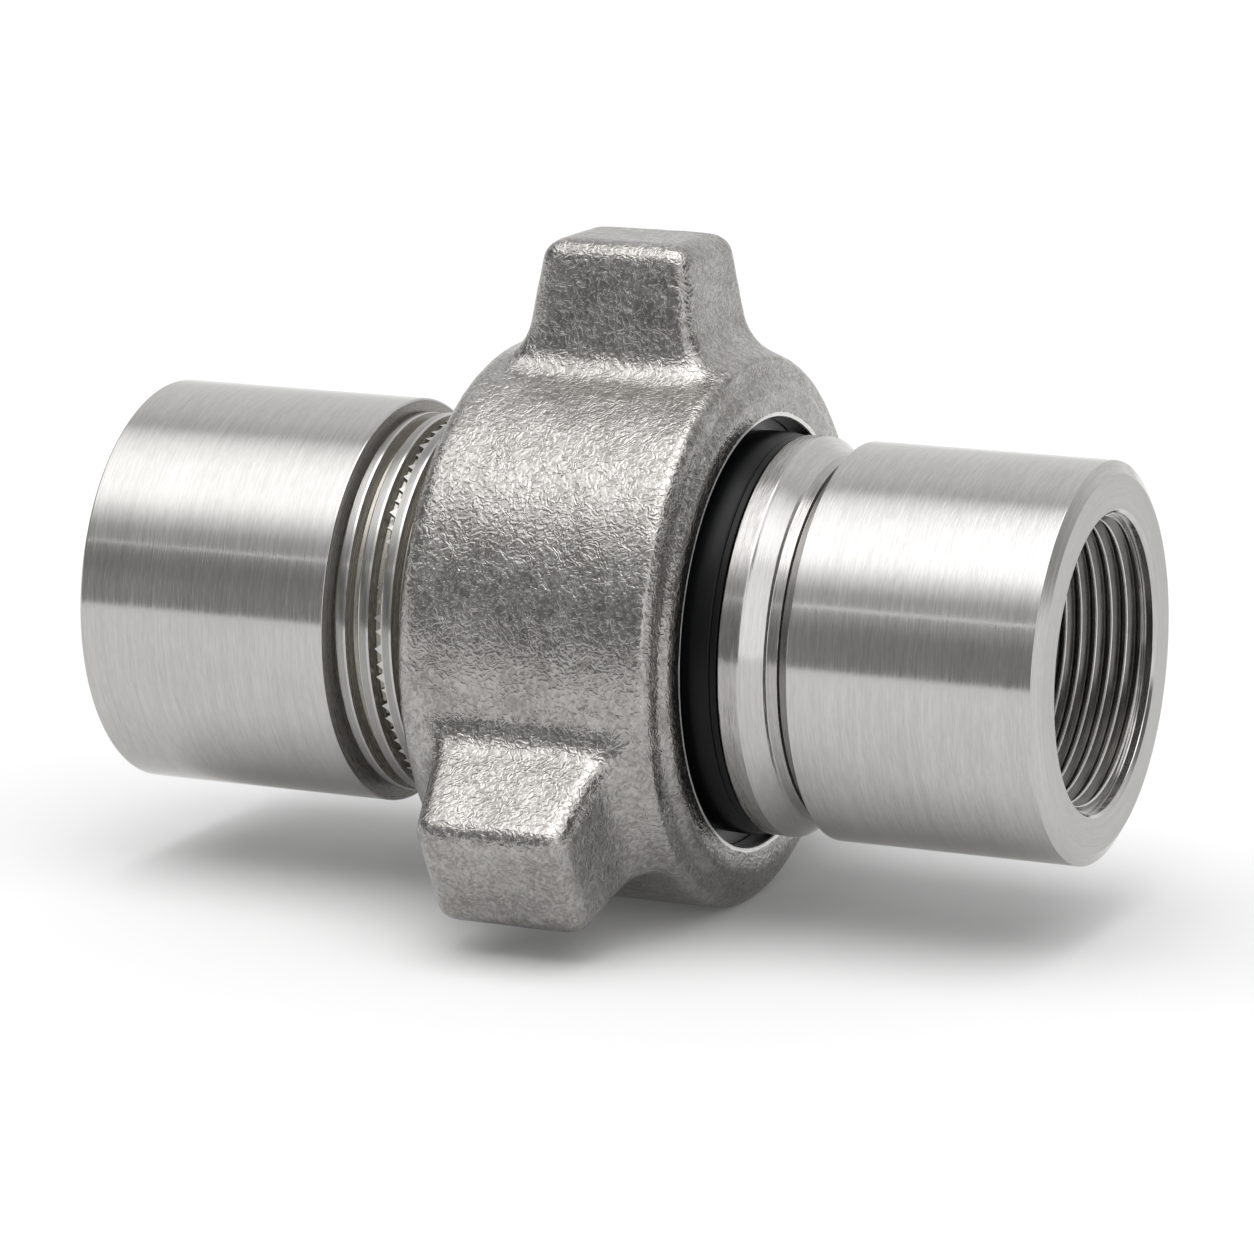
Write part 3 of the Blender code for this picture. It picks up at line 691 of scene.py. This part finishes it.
def make_nose_sub(*finishes):
    """The right sub: nose and shoulder inside the nut, then collar, undercut, grip and socket."""
    nose = [
        (SEAT_THROAT, 28.6 * MM, 0.2),
        (SEAT_THROAT + 0.6 * MM, 29.2 * MM, 0.3),
        (-1.5 * MM, 30.65 * MM, 1.0),
        (2.5 * MM, 31.75 * MM, 1.0),
        (SUB_END, NOSE_STEM, 0.5),
        (SHOULDER_START, NOSE_STEM, 0.4),
        (SHOULDER_START, SHOULDER, 0.4),
        (SHOULDER_END, SHOULDER, 0.4),
        (SHOULDER_END, NECK, 0.4),
    ]
    collar = [
        (COLLAR_START, NECK, 0.3),
        (COLLAR_START, COLLAR, 0.35),
        (CONE_START, COLLAR, 0.22),
        (CONE_START + 0.5 * MM, COLLAR - 0.45 * MM, 0.12),
        (BAND_C_START - 0.4 * MM, CONE_FOOT, 0.12),
        (BAND_C_START + 0.1 * MM, BAND_C + 0.15 * MM, 0.15),
        (UNDERCUT_START, BAND_C, 0.15),
        (UNDERCUT_START + 0.25 * MM, UNDERCUT, 0.10),
        (NOSE_GRIP_START, UNDERCUT, 0.25),
    ]
    grip = [
        (NOSE_GRIP_START, NOSE_GRIP, 0.40),
        (RIGHT_FACE - 1.5 * MM, NOSE_GRIP, 0.15),
        (RIGHT_FACE, NOSE_GRIP - 2.6 * MM, 0.15),
    ]
    bore = [(SEAT_THROAT, FLOW_BORE, 0.3)]
    outline = nose + collar + grip + socket_section(RIGHT_FACE, -1) + bore
    return turned_piece("nose_sub_turning", outline, finishes, nose_sub_zone)


def make_dust_ring(black):
    """The black ring: rounded face, full body and a fine lip by its outer edge."""
    return turned_piece("dust_ring_moulding", [
        (RING_START, NECK + CLEARANCE, 0.2),
        (RING_START, RING - 0.2 * MM, 0.8),
        (RING_END - 6.6 * MM, RING, 1.6),
        (RING_END - 4.0 * MM, RING - 0.12 * MM, 1.2),
        (RING_END - 1.9 * MM, RING - 0.55 * MM, 0.20),
        (RING_END - 1.6 * MM, RING - 0.75 * MM, 0.10),
        (RING_END - 1.3 * MM, RING - 0.50 * MM, 0.15),
        (RING_END, RING - 0.75 * MM, 0.35),
        (RING_END, NECK + CLEARANCE, 0.2),
    ], [black])


def make_lip_seal(black):
    """The seal in the pocket behind the seat."""
    left, right, outer = SEAL_END + CLEARANCE, SEAT_THROAT - CLEARANCE, POCKET - CLEARANCE
    return turned_piece("lip_seal_moulding", [
        (left, outer, 0.3),
        (right, outer, 0.3),
        (right, FLOW_BORE, 0.5),
        (left, FLOW_BORE, 0.5),
    ], [black], segments=FEWER_SEGMENTS)


def make_retainer(index, steel):
    """One loose arc behind the shoulder."""
    return turned_piece(f"retainer_arc_{index + 1}", [
        (RETAINER_START, NECK + CLEARANCE, 0.3),
        (RETAINER_START, RETAINER_OUTER, 0.5),
        (RETAINER_END, RETAINER_OUTER, 0.4),
        (RETAINER_END, NECK + CLEARANCE, 0.3),
    ], [steel], segments=ARC_SEGMENTS, start=RETAINER_FIRST + index * TURN / 3,
        sweep=RETAINER_SWEEP)


def make_snap_ring(steel):
    """The open spring ring that keeps the arcs in the nut."""
    return turned_piece("snap_ring_wire", [
        (SNAP_START, SNAP_INNER, 0.25),
        (SNAP_START, SNAP_OUTER, 0.25),
        (SNAP_END, SNAP_OUTER, 0.25),
        (SNAP_END, SNAP_INNER, 0.25),
    ], [steel], segments=FEWER_SEGMENTS, start=SNAP_FIRST, sweep=SNAP_SWEEP)


def shape_tree(name, sizes):
    """A new geometry tree with these named inputs; gives the tree, its graph and their wires."""
    tree = bpy.data.node_groups.new(name, "GeometryNodeTree")
    for way in ("INPUT", "OUTPUT"):
        tree.interface.new_socket("Geometry", in_out=way, socket_type="NodeSocketGeometry")
    for label, value in sizes.items():
        kind = "NodeSocketInt" if isinstance(value, int) else "NodeSocketFloat"
        socket = tree.interface.new_socket(label, in_out="INPUT", socket_type=kind)
        socket.default_value = value
    graph = Graph(tree)
    names = ("Geometry", *sizes)
    return tree, graph, dict(zip(names, graph.make("NodeGroupInput", output=names)))


def end_tree(graph, geometry, material):
    """Realize instances, set the finish and close the tree."""
    made = graph.make("GeometryNodeRealizeInstances", None, {0: geometry})
    made = graph.make("GeometryNodeSetMaterial", None, {"Geometry": made, "Material": material})
    graph.make("NodeGroupOutput", None, {0: made})


def apply_tree(piece, tree, **values):
    """Run a geometry tree on a piece with these inputs and keep the result as its mesh."""
    modifier = modify(piece, tree.name, "NODES", node_group=tree)
    for item in tree.interface.items_tree:
        if item.in_out == "INPUT" and item.name in values:
            modifier[item.identifier] = values[item.name]
    return plain(piece)


def around_axis_tree(finish):
    """Copies the incoming geometry evenly round the union's axis."""
    tree, graph, given = shape_tree("round_the_axis", {"Copies": 3, "Height": AXIS_HEIGHT})
    line = graph.make("GeometryNodeMeshLine", {"mode": "OFFSET"}, {
        "Count": given["Copies"], "Offset": (0.0, 0.0, 0.0),
        "Start Location": graph.join(0.0, 0.0, given["Height"]),
    })
    turn = graph.make("GeometryNodeInputIndex") * TURN / given["Copies"]
    copies = graph.make("GeometryNodeInstanceOnPoints", None, {
        "Points": line, "Instance": given["Geometry"], "Rotation": graph.join(turn, 0.0, 0.0),
    })
    end_tree(graph, copies, finish)
    return tree


def skin_tree(finish):
    """Pushes a casting's skin in and out along its normals by soft noise."""
    tree, graph, given = shape_tree("cast_skin", {
        "Swell": 0.10 * MM, "Swell Scale": 95.0,
        "Wrinkle": 0.07 * MM, "Wrinkle Scale": 330.0,
    })
    place = graph.make("GeometryNodeInputPosition")
    swell = graph.noise(place, given["Swell Scale"])
    wrinkle = graph.noise(place, given["Wrinkle Scale"], 1.0, 0.5, 0.4)
    push = (swell - 0.5) * given["Swell"] * 2.0 + (wrinkle - 0.5) * given["Wrinkle"] * 2.0
    offset = graph.scaled(graph.make("GeometryNodeInputNormal"), push)
    moved = graph.make("GeometryNodeSetPosition", None, {
        "Geometry": given["Geometry"], "Offset": offset})
    end_tree(graph, moved, finish)
    return tree


def body_radius(station):
    """Outer radius of the nut's turned body at a station, through both rounded edges."""
    near = held(min(station - NUT_START, NUT_END - station), 0.0, NUT_ROUNDING)
    inset = NUT_ROUNDING - near
    return NUT_BODY - NUT_ROUNDING + math.sqrt(NUT_ROUNDING ** 2 - inset ** 2)


def lug_outline(half_length, half_width, corner, corner_steps=7, side_steps=10):
    """Points round a rectangle with rounded corners, as (along, across)."""
    corners = []
    for index, (along, across) in enumerate(((1, 1), (-1, 1), (-1, -1), (1, -1))):
        corners.append(arc(along * (half_length - corner), across * (half_width - corner),
                           corner, QUARTER * index, QUARTER * (index + 1), corner_steps))
    points = []
    for here, following in zip(corners, corners[1:] + corners[:1]):
        points += here
        for step in range(1, side_steps):
            share = step / side_steps
            points.append([a + (b - a) * share for a, b in zip(here[-1], following[0])])
    return points


def fillet_spread(height, radius):
    """How far a fillet reaches out from its flank at a height over its foot."""
    left = radius - held(height, 0.0, radius)
    return radius - math.sqrt(radius ** 2 - left ** 2)


def lug_ring(height, inset, follow):
    """One ring of a lug at a height over the nut's body.

    follow is 1 where the ring lies on the round body, and 0 where it is flat.
    """
    middle = (NUT_START + NUT_END) / 2
    share = held(height / LUG_FLANK, 0.0, 1.0)
    length, width = (foot + (tip - foot) * share for foot, tip in zip(LUG_FOOT, LUG_TIP))
    out_along = fillet_spread(height, LUG_FILLET_ALONG)
    out_across = fillet_spread(height, LUG_FILLET_ACROSS)
    corner = LUG_CORNER + min(out_along, out_across)
    corner -= inset * LUG_CORNER / (LUG_CORNER + LUG_EDGE)
    outline = lug_outline(length / 2 + out_along - inset, width / 2 + out_across - inset, corner)
    points = []
    for along, across in outline:
        surface = math.sqrt(max(body_radius(middle + along) ** 2 - across ** 2, 0.0))
        level = surface * follow + NUT_BODY * (1 - follow)
        points.append((middle + along, across, level + height))
    return points


def lug_mesh(fillet_steps=10, edge_steps=6):
    """A lug standing over the +Z side of the axis, lofted from its root to its rounded tip.

    The rings lie closest at the foot of the fillet, where it turns fastest.
    """
    rings = [lug_ring(-LUG_ROOT, 0.0, 1.0)]
    for step in range(fillet_steps + 1):
        share = (step / fillet_steps) ** 1.8
        rings.append(lug_ring(share * LUG_FILLET_ALONG, 0.0, 1.0 - share ** 2))
    for step in range(edge_steps + 1):
        turn = step / edge_steps * QUARTER
        height = LUG_FLANK + LUG_EDGE * math.sin(turn)
        rings.append(lug_ring(height, LUG_EDGE * (1 - math.cos(turn)), 0.0))
    count = len(rings[0])
    corners = [point for ring in rings for point in ring]
    faces = [list(range(count))[::-1], list(range(len(corners) - count, len(corners)))]
    for low in range(0, len(corners) - count, count):
        for i in range(count):
            j = (i + 1) % count
            faces.append([low + i, low + j, low + count + j, low + count + i])
    return new_mesh("lug", corners, faces)


def casting_section():
    """Half section of the solid casting, out from the axis: rounded edges and a dished back."""
    ridge_at = NUT_END - RIDGE_DEPTH - RIDGE_ROUNDING / 2
    return [
        (NUT_START + 0.2 * MM, 0.0),
        (NUT_START, FACE_INNER),
        *arc(NUT_START + NUT_ROUNDING, NUT_BODY - NUT_ROUNDING, NUT_ROUNDING,
             math.pi, QUARTER, 8),
        *arc(ridge_at, NUT_BODY - RIDGE_ROUNDING, RIDGE_ROUNDING,
             QUARTER, QUARTER - RIDGE_SWEEP, 6),
        *((NUT_END - depth * MM, radius * MM) for depth, radius in FACE_COVE),
        (BORE_LAND_AT, FACE_INNER),
        (BORE_LAND_AT, 0.0),
    ]


def bore_section():
    """Section of all that is machined out of the nut, from the mouth to the back bore."""
    thread_start = NUT_START + NUT_MOUTH
    return [
        (NUT_START - CUTTER_REACH, 0.0),
        (NUT_START - CUTTER_REACH, NUT_CREST + NUT_MOUTH + CUTTER_REACH),
        (thread_start, NUT_CREST),
        coarse_thread(thread_start, NUT_THREAD_END, NUT_ROOT, NUT_CREST,
                      GROOVE_DATUM + PITCH / 2, 0.02),
        (NUT_THREAD_END, NUT_ROOT + CLEARANCE),
        (CHAMBER_START, NUT_ROOT + CLEARANCE),
        (CHAMBER_START, FLANGE_BORE),
        (SNAP_GROOVE_START, FLANGE_BORE),
        (SNAP_GROOVE_START, SNAP_GROOVE),
        (SHOULDER_END, SNAP_GROOVE),
        (SHOULDER_END, CHAMBER),
        (CHAMBER_END, CHAMBER),
        (CHAMBER_END, FLANGE_BORE),
        (BORE_LAND_AT - BORE_BEVEL, FLANGE_BORE),
        (BORE_LAND_AT, FLANGE_BORE + BORE_BEVEL / 2),
        (BORE_LAND_AT, BORE_LAND),
        (BORE_LAND_AT + CUTTER_REACH, BORE_LAND + BORE_FLARE * CUTTER_REACH),
        (BORE_LAND_AT + CUTTER_REACH, 0.0),
    ]


def nut_zone(x, radius):
    """Slot of a face of the nut: cast outside, and machined within the cutter's reach."""
    if x < NUT_START + NUT_MOUTH:
        limit = NUT_CREST + NUT_MOUTH - (x - NUT_START) + NEAR
    elif x > FLANGE_START:
        limit = BORE_LAND + NEAR + max(0.0, x - BORE_LAND_AT) * BORE_FLARE
    elif x > CHAMBER_START - MM:
        limit = CHAMBER + 0.5 * MM
    else:
        limit = MAJOR + 1.5 * MM
    if radius >= limit or not NUT_START + HAIR < x < BORE_LAND_AT + 0.5 * MM:
        return CAST
    # The bore's edge is real machined steel, made near-white here as a painted highlight.
    if x > BORE_LAND_AT - 0.35 * MM:
        return EDGE
    # Inside the flange the bore takes the same dark steel, as painted shade.
    return FLANGE if x > FLANGE_START else MACHINED


def make_wing_nut(cast, *machined):
    """The cast nut: body and lugs grown together, softened and skinned, then machined inside."""
    body = turned_mesh("casting", casting_section(), FEWER_SEGMENTS)
    nut = place_object("wing_nut_casting", body, cast)
    lugs = apply_tree(place_object("lugs", lug_mesh()), around_axis_tree(cast))
    work = bmesh.new()
    work.from_mesh(nut.data)
    work.from_mesh(lugs.data)
    work.to_mesh(nut.data)
    work.free()
    bpy.data.objects.remove(lugs)
    modify(nut, "grow", "REMESH", mode="VOXEL", voxel_size=VOXEL)
    modify(nut, "soften", "SMOOTH", factor=0.5, iterations=5)
    plain(nut)
    apply_tree(nut, skin_tree(cast))
    cutter = place_object("bore", turned_mesh("bore", bore_section(), CUTTER_SEGMENTS))
    modify(nut, "machine", "BOOLEAN", operation="DIFFERENCE", solver="MANIFOLD", object=cutter)
    plain(nut)
    bpy.data.objects.remove(cutter)
    mesh = nut.data
    mesh.materials.clear()
    for finish in (cast, *machined):
        mesh.materials.append(finish)
    zone(mesh, nut_zone)
    mesh.shade_smooth()
    mesh.set_sharp_from_angle(angle=CAST_SHARP)
    return nut


def teeth_tree(finish):
    """A row of small uneven teeth on the left flank of one turn of the coarse thread."""
    tree, graph, given = shape_tree("flank_teeth", {
        "Teeth": TEETH, "Start": 0.0, "Pitch": PITCH, "Radius": MAJOR, "Height": AXIS_HEIGHT,
        "Wander": 0.0016, "Smallest": 0.55, "Largest": 1.2,
        "Narrowest": 0.7, "Widest": 1.2, "Seed": 7,
    })
    seed = given["Seed"]
    line = graph.make("GeometryNodeMeshLine", {"mode": "OFFSET"}, {
        "Count": given["Teeth"], "Offset": (0.0, 0.0, 0.0)})
    share = graph.make("GeometryNodeInputIndex") / given["Teeth"]
    turn = (share + graph.random(-given["Wander"], given["Wander"], seed)) * TURN
    where = graph.join(
        given["Start"] + given["Pitch"] * share,
        graph.math("COSINE", turn) * given["Radius"],
        graph.math("SINE", turn) * given["Radius"] + given["Height"],
    )
    placed = graph.make("GeometryNodeSetPosition", None, {"Geometry": line, "Position": where})
    size = graph.random(given["Smallest"], given["Largest"], seed + 1)
    width = graph.random(given["Narrowest"], given["Widest"], seed + 2)
    teeth = graph.make("GeometryNodeInstanceOnPoints", None, {
        "Points": placed, "Instance": given["Geometry"],
        "Rotation": graph.join(turn - QUARTER, 0.0, 0.0),
        "Scale": graph.join(size, size * width, size),
    })
    end_tree(graph, teeth, finish)
    return tree


def tooth_mesh():
    """One tooth: a wedge that points left, its foot on the flank, its top just under the crest."""
    corners = []
    for level, shrink in ((0.0, 0.85), (-TOOTH_DEPTH, 1.0)):
        half = TOOTH_WIDTH / 2 * shrink
        corners += [(TOOTH_FOOT, -half, level), (TOOTH_FOOT, half, level),
                    (-TOOTH_REACH * shrink, 0.0, level - TOOTH_SINK)]
    return new_mesh("tooth", corners, [
        (0, 1, 2), (5, 4, 3), (0, 3, 4, 1), (1, 4, 5, 2), (2, 5, 3, 0)])


def make_teeth(steel):
    """The burrs, on the left flank of a crest that the nut leaves open."""
    left_edge = GROOVE_DATUM + PITCH * (1 + groove_half(MAJOR, 1))
    while left_edge < CREST_START + 1.4 * PITCH:
        left_edge += PITCH
    teeth = place_object("thread_flank_teeth", tooth_mesh())
    return apply_tree(teeth, teeth_tree(steel), Start=left_edge, Radius=MAJOR - TOOTH_SINK)


def ray_kinds(graph):
    """Whether a ray comes from the camera, and whether it is mirrored or passes through glass."""
    seen, glossy, through = graph.make("ShaderNodeLightPath", output=(
        "Is Camera Ray", "Is Glossy Ray", "Is Transmission Ray"))
    return seen, graph.math("MAXIMUM", glossy, through)


def floor():
    """A pale floor that keeps the shadow; it ends towards the camera, outside the view."""
    mesh = bpy.data.meshes.new("floor")
    mesh.from_pydata([
        (-FLOOR_REACH, FLOOR_FRONT, 0), (FLOOR_REACH, FLOOR_FRONT, 0),
        (FLOOR_REACH, FLOOR_REACH, 0), (-FLOOR_REACH, FLOOR_REACH, 0),
    ], [], [(0, 1, 2, 3)])
    material = bpy.data.materials.new("floor_white")
    material.use_nodes = True
    graph = Graph(material.node_tree)
    lit = graph.make("ShaderNodeBsdfDiffuse", None, {"Color": grey(FLOOR_GREY)})
    lift = graph.make("ShaderNodeEmission", None, {
        "Color": grey(1.0), "Strength": graph.math("MAXIMUM", *ray_kinds(graph)) * FLOOR_LIFT})
    both = graph.make("ShaderNodeAddShader", None, {0: lit, 1: lift})
    graph.make("ShaderNodeOutputMaterial", None, {0: both})
    made = place_object("floor", mesh, material)
    made.location.z = -FLOOR_GAP


def surroundings():
    """White to the camera; to the metal, a soft box overhead between grey walls.

    front goes from 0 at the horizon before the union, over the top, to 1 at the one behind it;
    aside goes from 0 straight ahead of it to 0.5 at its right.
    """
    world = bpy.data.worlds.new("studio")
    bpy.context.scene.world = world
    world.use_nodes = True
    graph = Graph(world.node_tree)
    x, y, z = graph.split(graph.make("ShaderNodeTexCoord", output="Generated"))
    front = graph.math("ARCTAN2", z, -y) * (1 / math.pi)
    aside = graph.math("ARCTAN2", x, -y) * (1 / math.pi)

    box = graph.make("ShaderNodeValToRGB", {"stops": OVERHEAD}, {0: front})
    in_box = (abs(x) / graph.math("MAXIMUM", z, 0.02)).falling(0.85, 1.40)
    wall = y.between(0.05, 0.60, 0.26, 0.74) * x.between(0.40, 0.85, 1.0, 0.60)
    room = graph.blend(in_box, graph.join(wall, wall, wall), box)

    core = abs(x - 0.02).falling(0.18, 0.34) * front.within(0.27, 0.34, 0.53, 0.60)
    low_sides = abs(x).between(0.42, 0.80) * z.falling(0.10, 0.26)
    seam = abs(front - 0.168).falling(0.0, 0.0045) * in_box
    panel = aside.within(0.15, 0.19, 0.36, 0.41) * z.falling(0.55, 0.75)
    for part, brightness in ((core, 3.3), (low_sides, 0.9), (seam, 2.0), (panel, 1.15)):
        room = graph.blend(part, room, grey(brightness))

    seen, mirrored = ray_kinds(graph)
    behind = front.between(0.95, 1.0) * x.falling(0.0, 0.35)
    white = graph.math("MAXIMUM", seen, mirrored * behind)
    shown = graph.blend(white, room, grey(1 / DAYLIGHT))
    sky = graph.make("ShaderNodeBackground", None, {"Color": shown, "Strength": DAYLIGHT})
    graph.make("ShaderNodeOutputWorld", None, {0: sky})


def camera():
    """The photograph's place and angle."""
    made = bpy.data.objects.new("camera", bpy.data.cameras.new("camera"))
    bpy.context.scene.collection.objects.link(made)
    made.location = CAMERA_PLACE
    made.rotation_euler = (math.radians(90 - CAMERA_RISE), 0.0, math.radians(CAMERA_TURN))
    made.data.sensor_width = 36.0
    made.data.lens = CAMERA_LENS
    made.data.clip_start = 0.01
    bpy.context.scene.camera = made


bpy.context.scene.view_settings.view_transform = "Standard"
camera()
floor()
surroundings()

# Turned steels: lighter tone, darker tone, roughness
sub_steel = turned_steel("turned_sub_steel", (0.525, 0.516, 0.503), (0.43, 0.421, 0.408), 0.13)
nose_steel = turned_steel("turned_nose_steel", (0.542, 0.533, 0.525), (0.439, 0.43, 0.421), 0.13)
collar_steel = turned_steel(
    "turned_collar_steel", (0.45, 0.44, 0.43), (0.31, 0.30, 0.29), 0.15, grain=2.2)
faced_steel = turned_steel("faced_end_steel", (0.41, 0.405, 0.395), (0.325, 0.32, 0.31), 0.20)
relief_steel = turned_steel(
    "relief_steel", (0.34, 0.324, 0.30), (0.26, 0.248, 0.228), 0.28, metallic=0.50)
groove_steel = turned_steel(
    "groove_steel", (0.375, 0.352, 0.318), (0.265, 0.248, 0.222), 0.27, metallic=0.60)
coarse_steel = turned_steel("coarse_crest_steel", (0.34, 0.335, 0.326), (0.262, 0.258, 0.25), 0.20)
machined_steel = turned_steel("machined_nut_steel", (0.62, 0.605, 0.585), (0.48, 0.465, 0.44), 0.16)
# Dark steel: painted shade in the nut's flange bore and along the nose sub's undercut
bore_and_undercut_shade_steel = turned_steel("bore_and_undercut_painted_shade", (0.24, 0.23, 0.22), (0.15, 0.145, 0.135), 0.24)
# Socket thread steel, darkened as painted shade inside the sockets
socket_shade_steel = turned_steel(
    "socket_painted_shade_steel", (0.185, 0.178, 0.166), (0.11, 0.105, 0.098), 0.20, grain=0.6, metallic=0.94)
# Near-white, half-diffuse steel: painted highlight lines on the socket crests and on the nut's bore
# edge
crest_highlight_steel = turned_steel(
    "crest_and_edge_painted_highlight", (0.92, 0.91, 0.89), (0.78, 0.77, 0.75), 0.30, grain=0.6, metallic=0.55)
retainer_steel = turned_steel("retainer_steel", (0.17, 0.17, 0.175), (0.10, 0.10, 0.105), 0.36)
spring_steel = turned_steel("spring_ring_steel", (0.33, 0.33, 0.35), (0.24, 0.24, 0.26), 0.30)
nut_skin = cast_skin("cast_nut_skin", (0.425, 0.414, 0.398), (0.228, 0.219, 0.206))
ring_black = rubber("dust_ring_black", (0.0038, 0.0041, 0.0048))
seal_black = rubber("lip_seal_black", (0.028, 0.028, 0.028))

# In the order of the finish slots
thread_sub = make_thread_sub(
    sub_steel, groove_steel, coarse_steel, relief_steel, socket_shade_steel, crest_highlight_steel)
lip_seal = make_lip_seal(seal_black)
nose_sub = make_nose_sub(
    nose_steel, bore_and_undercut_shade_steel, faced_steel, collar_steel, socket_shade_steel, crest_highlight_steel)
dust_ring = make_dust_ring(ring_black)
wing_nut = make_wing_nut(nut_skin, machined_steel, bore_and_undercut_shade_steel, crest_highlight_steel)
snap_ring = make_snap_ring(spring_steel)
teeth = make_teeth(sub_steel)

# Piece, the body that it rides on, the node that it stands for, its slot in the record
pieces = [
    (thread_sub, "thread_half", "thread_sub", "thread_sub_steel"),
    (lip_seal, "thread_half", "lip_seal", "seal_rubber"),
    (nose_sub, "nose_half", "nose_sub", "nose_sub_steel"),
    (dust_ring, "nose_half", "dust_ring", "ring_rubber"),
    (wing_nut, "nut", "wing_nut", "cast_steel"),
    (snap_ring, "nut", "snap_ring", "spring_steel"),
    (teeth, "thread_half", None, "thread_sub_steel"),
]
for number in range(3):
    arc_piece = make_retainer(number, retainer_steel)
    pieces.append((arc_piece, "nut", f"retainer_segment_{number + 1}", "segment_steel"))
for piece, body, node, slot in pieces:
    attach(piece, body)
    if node:
        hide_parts(node)
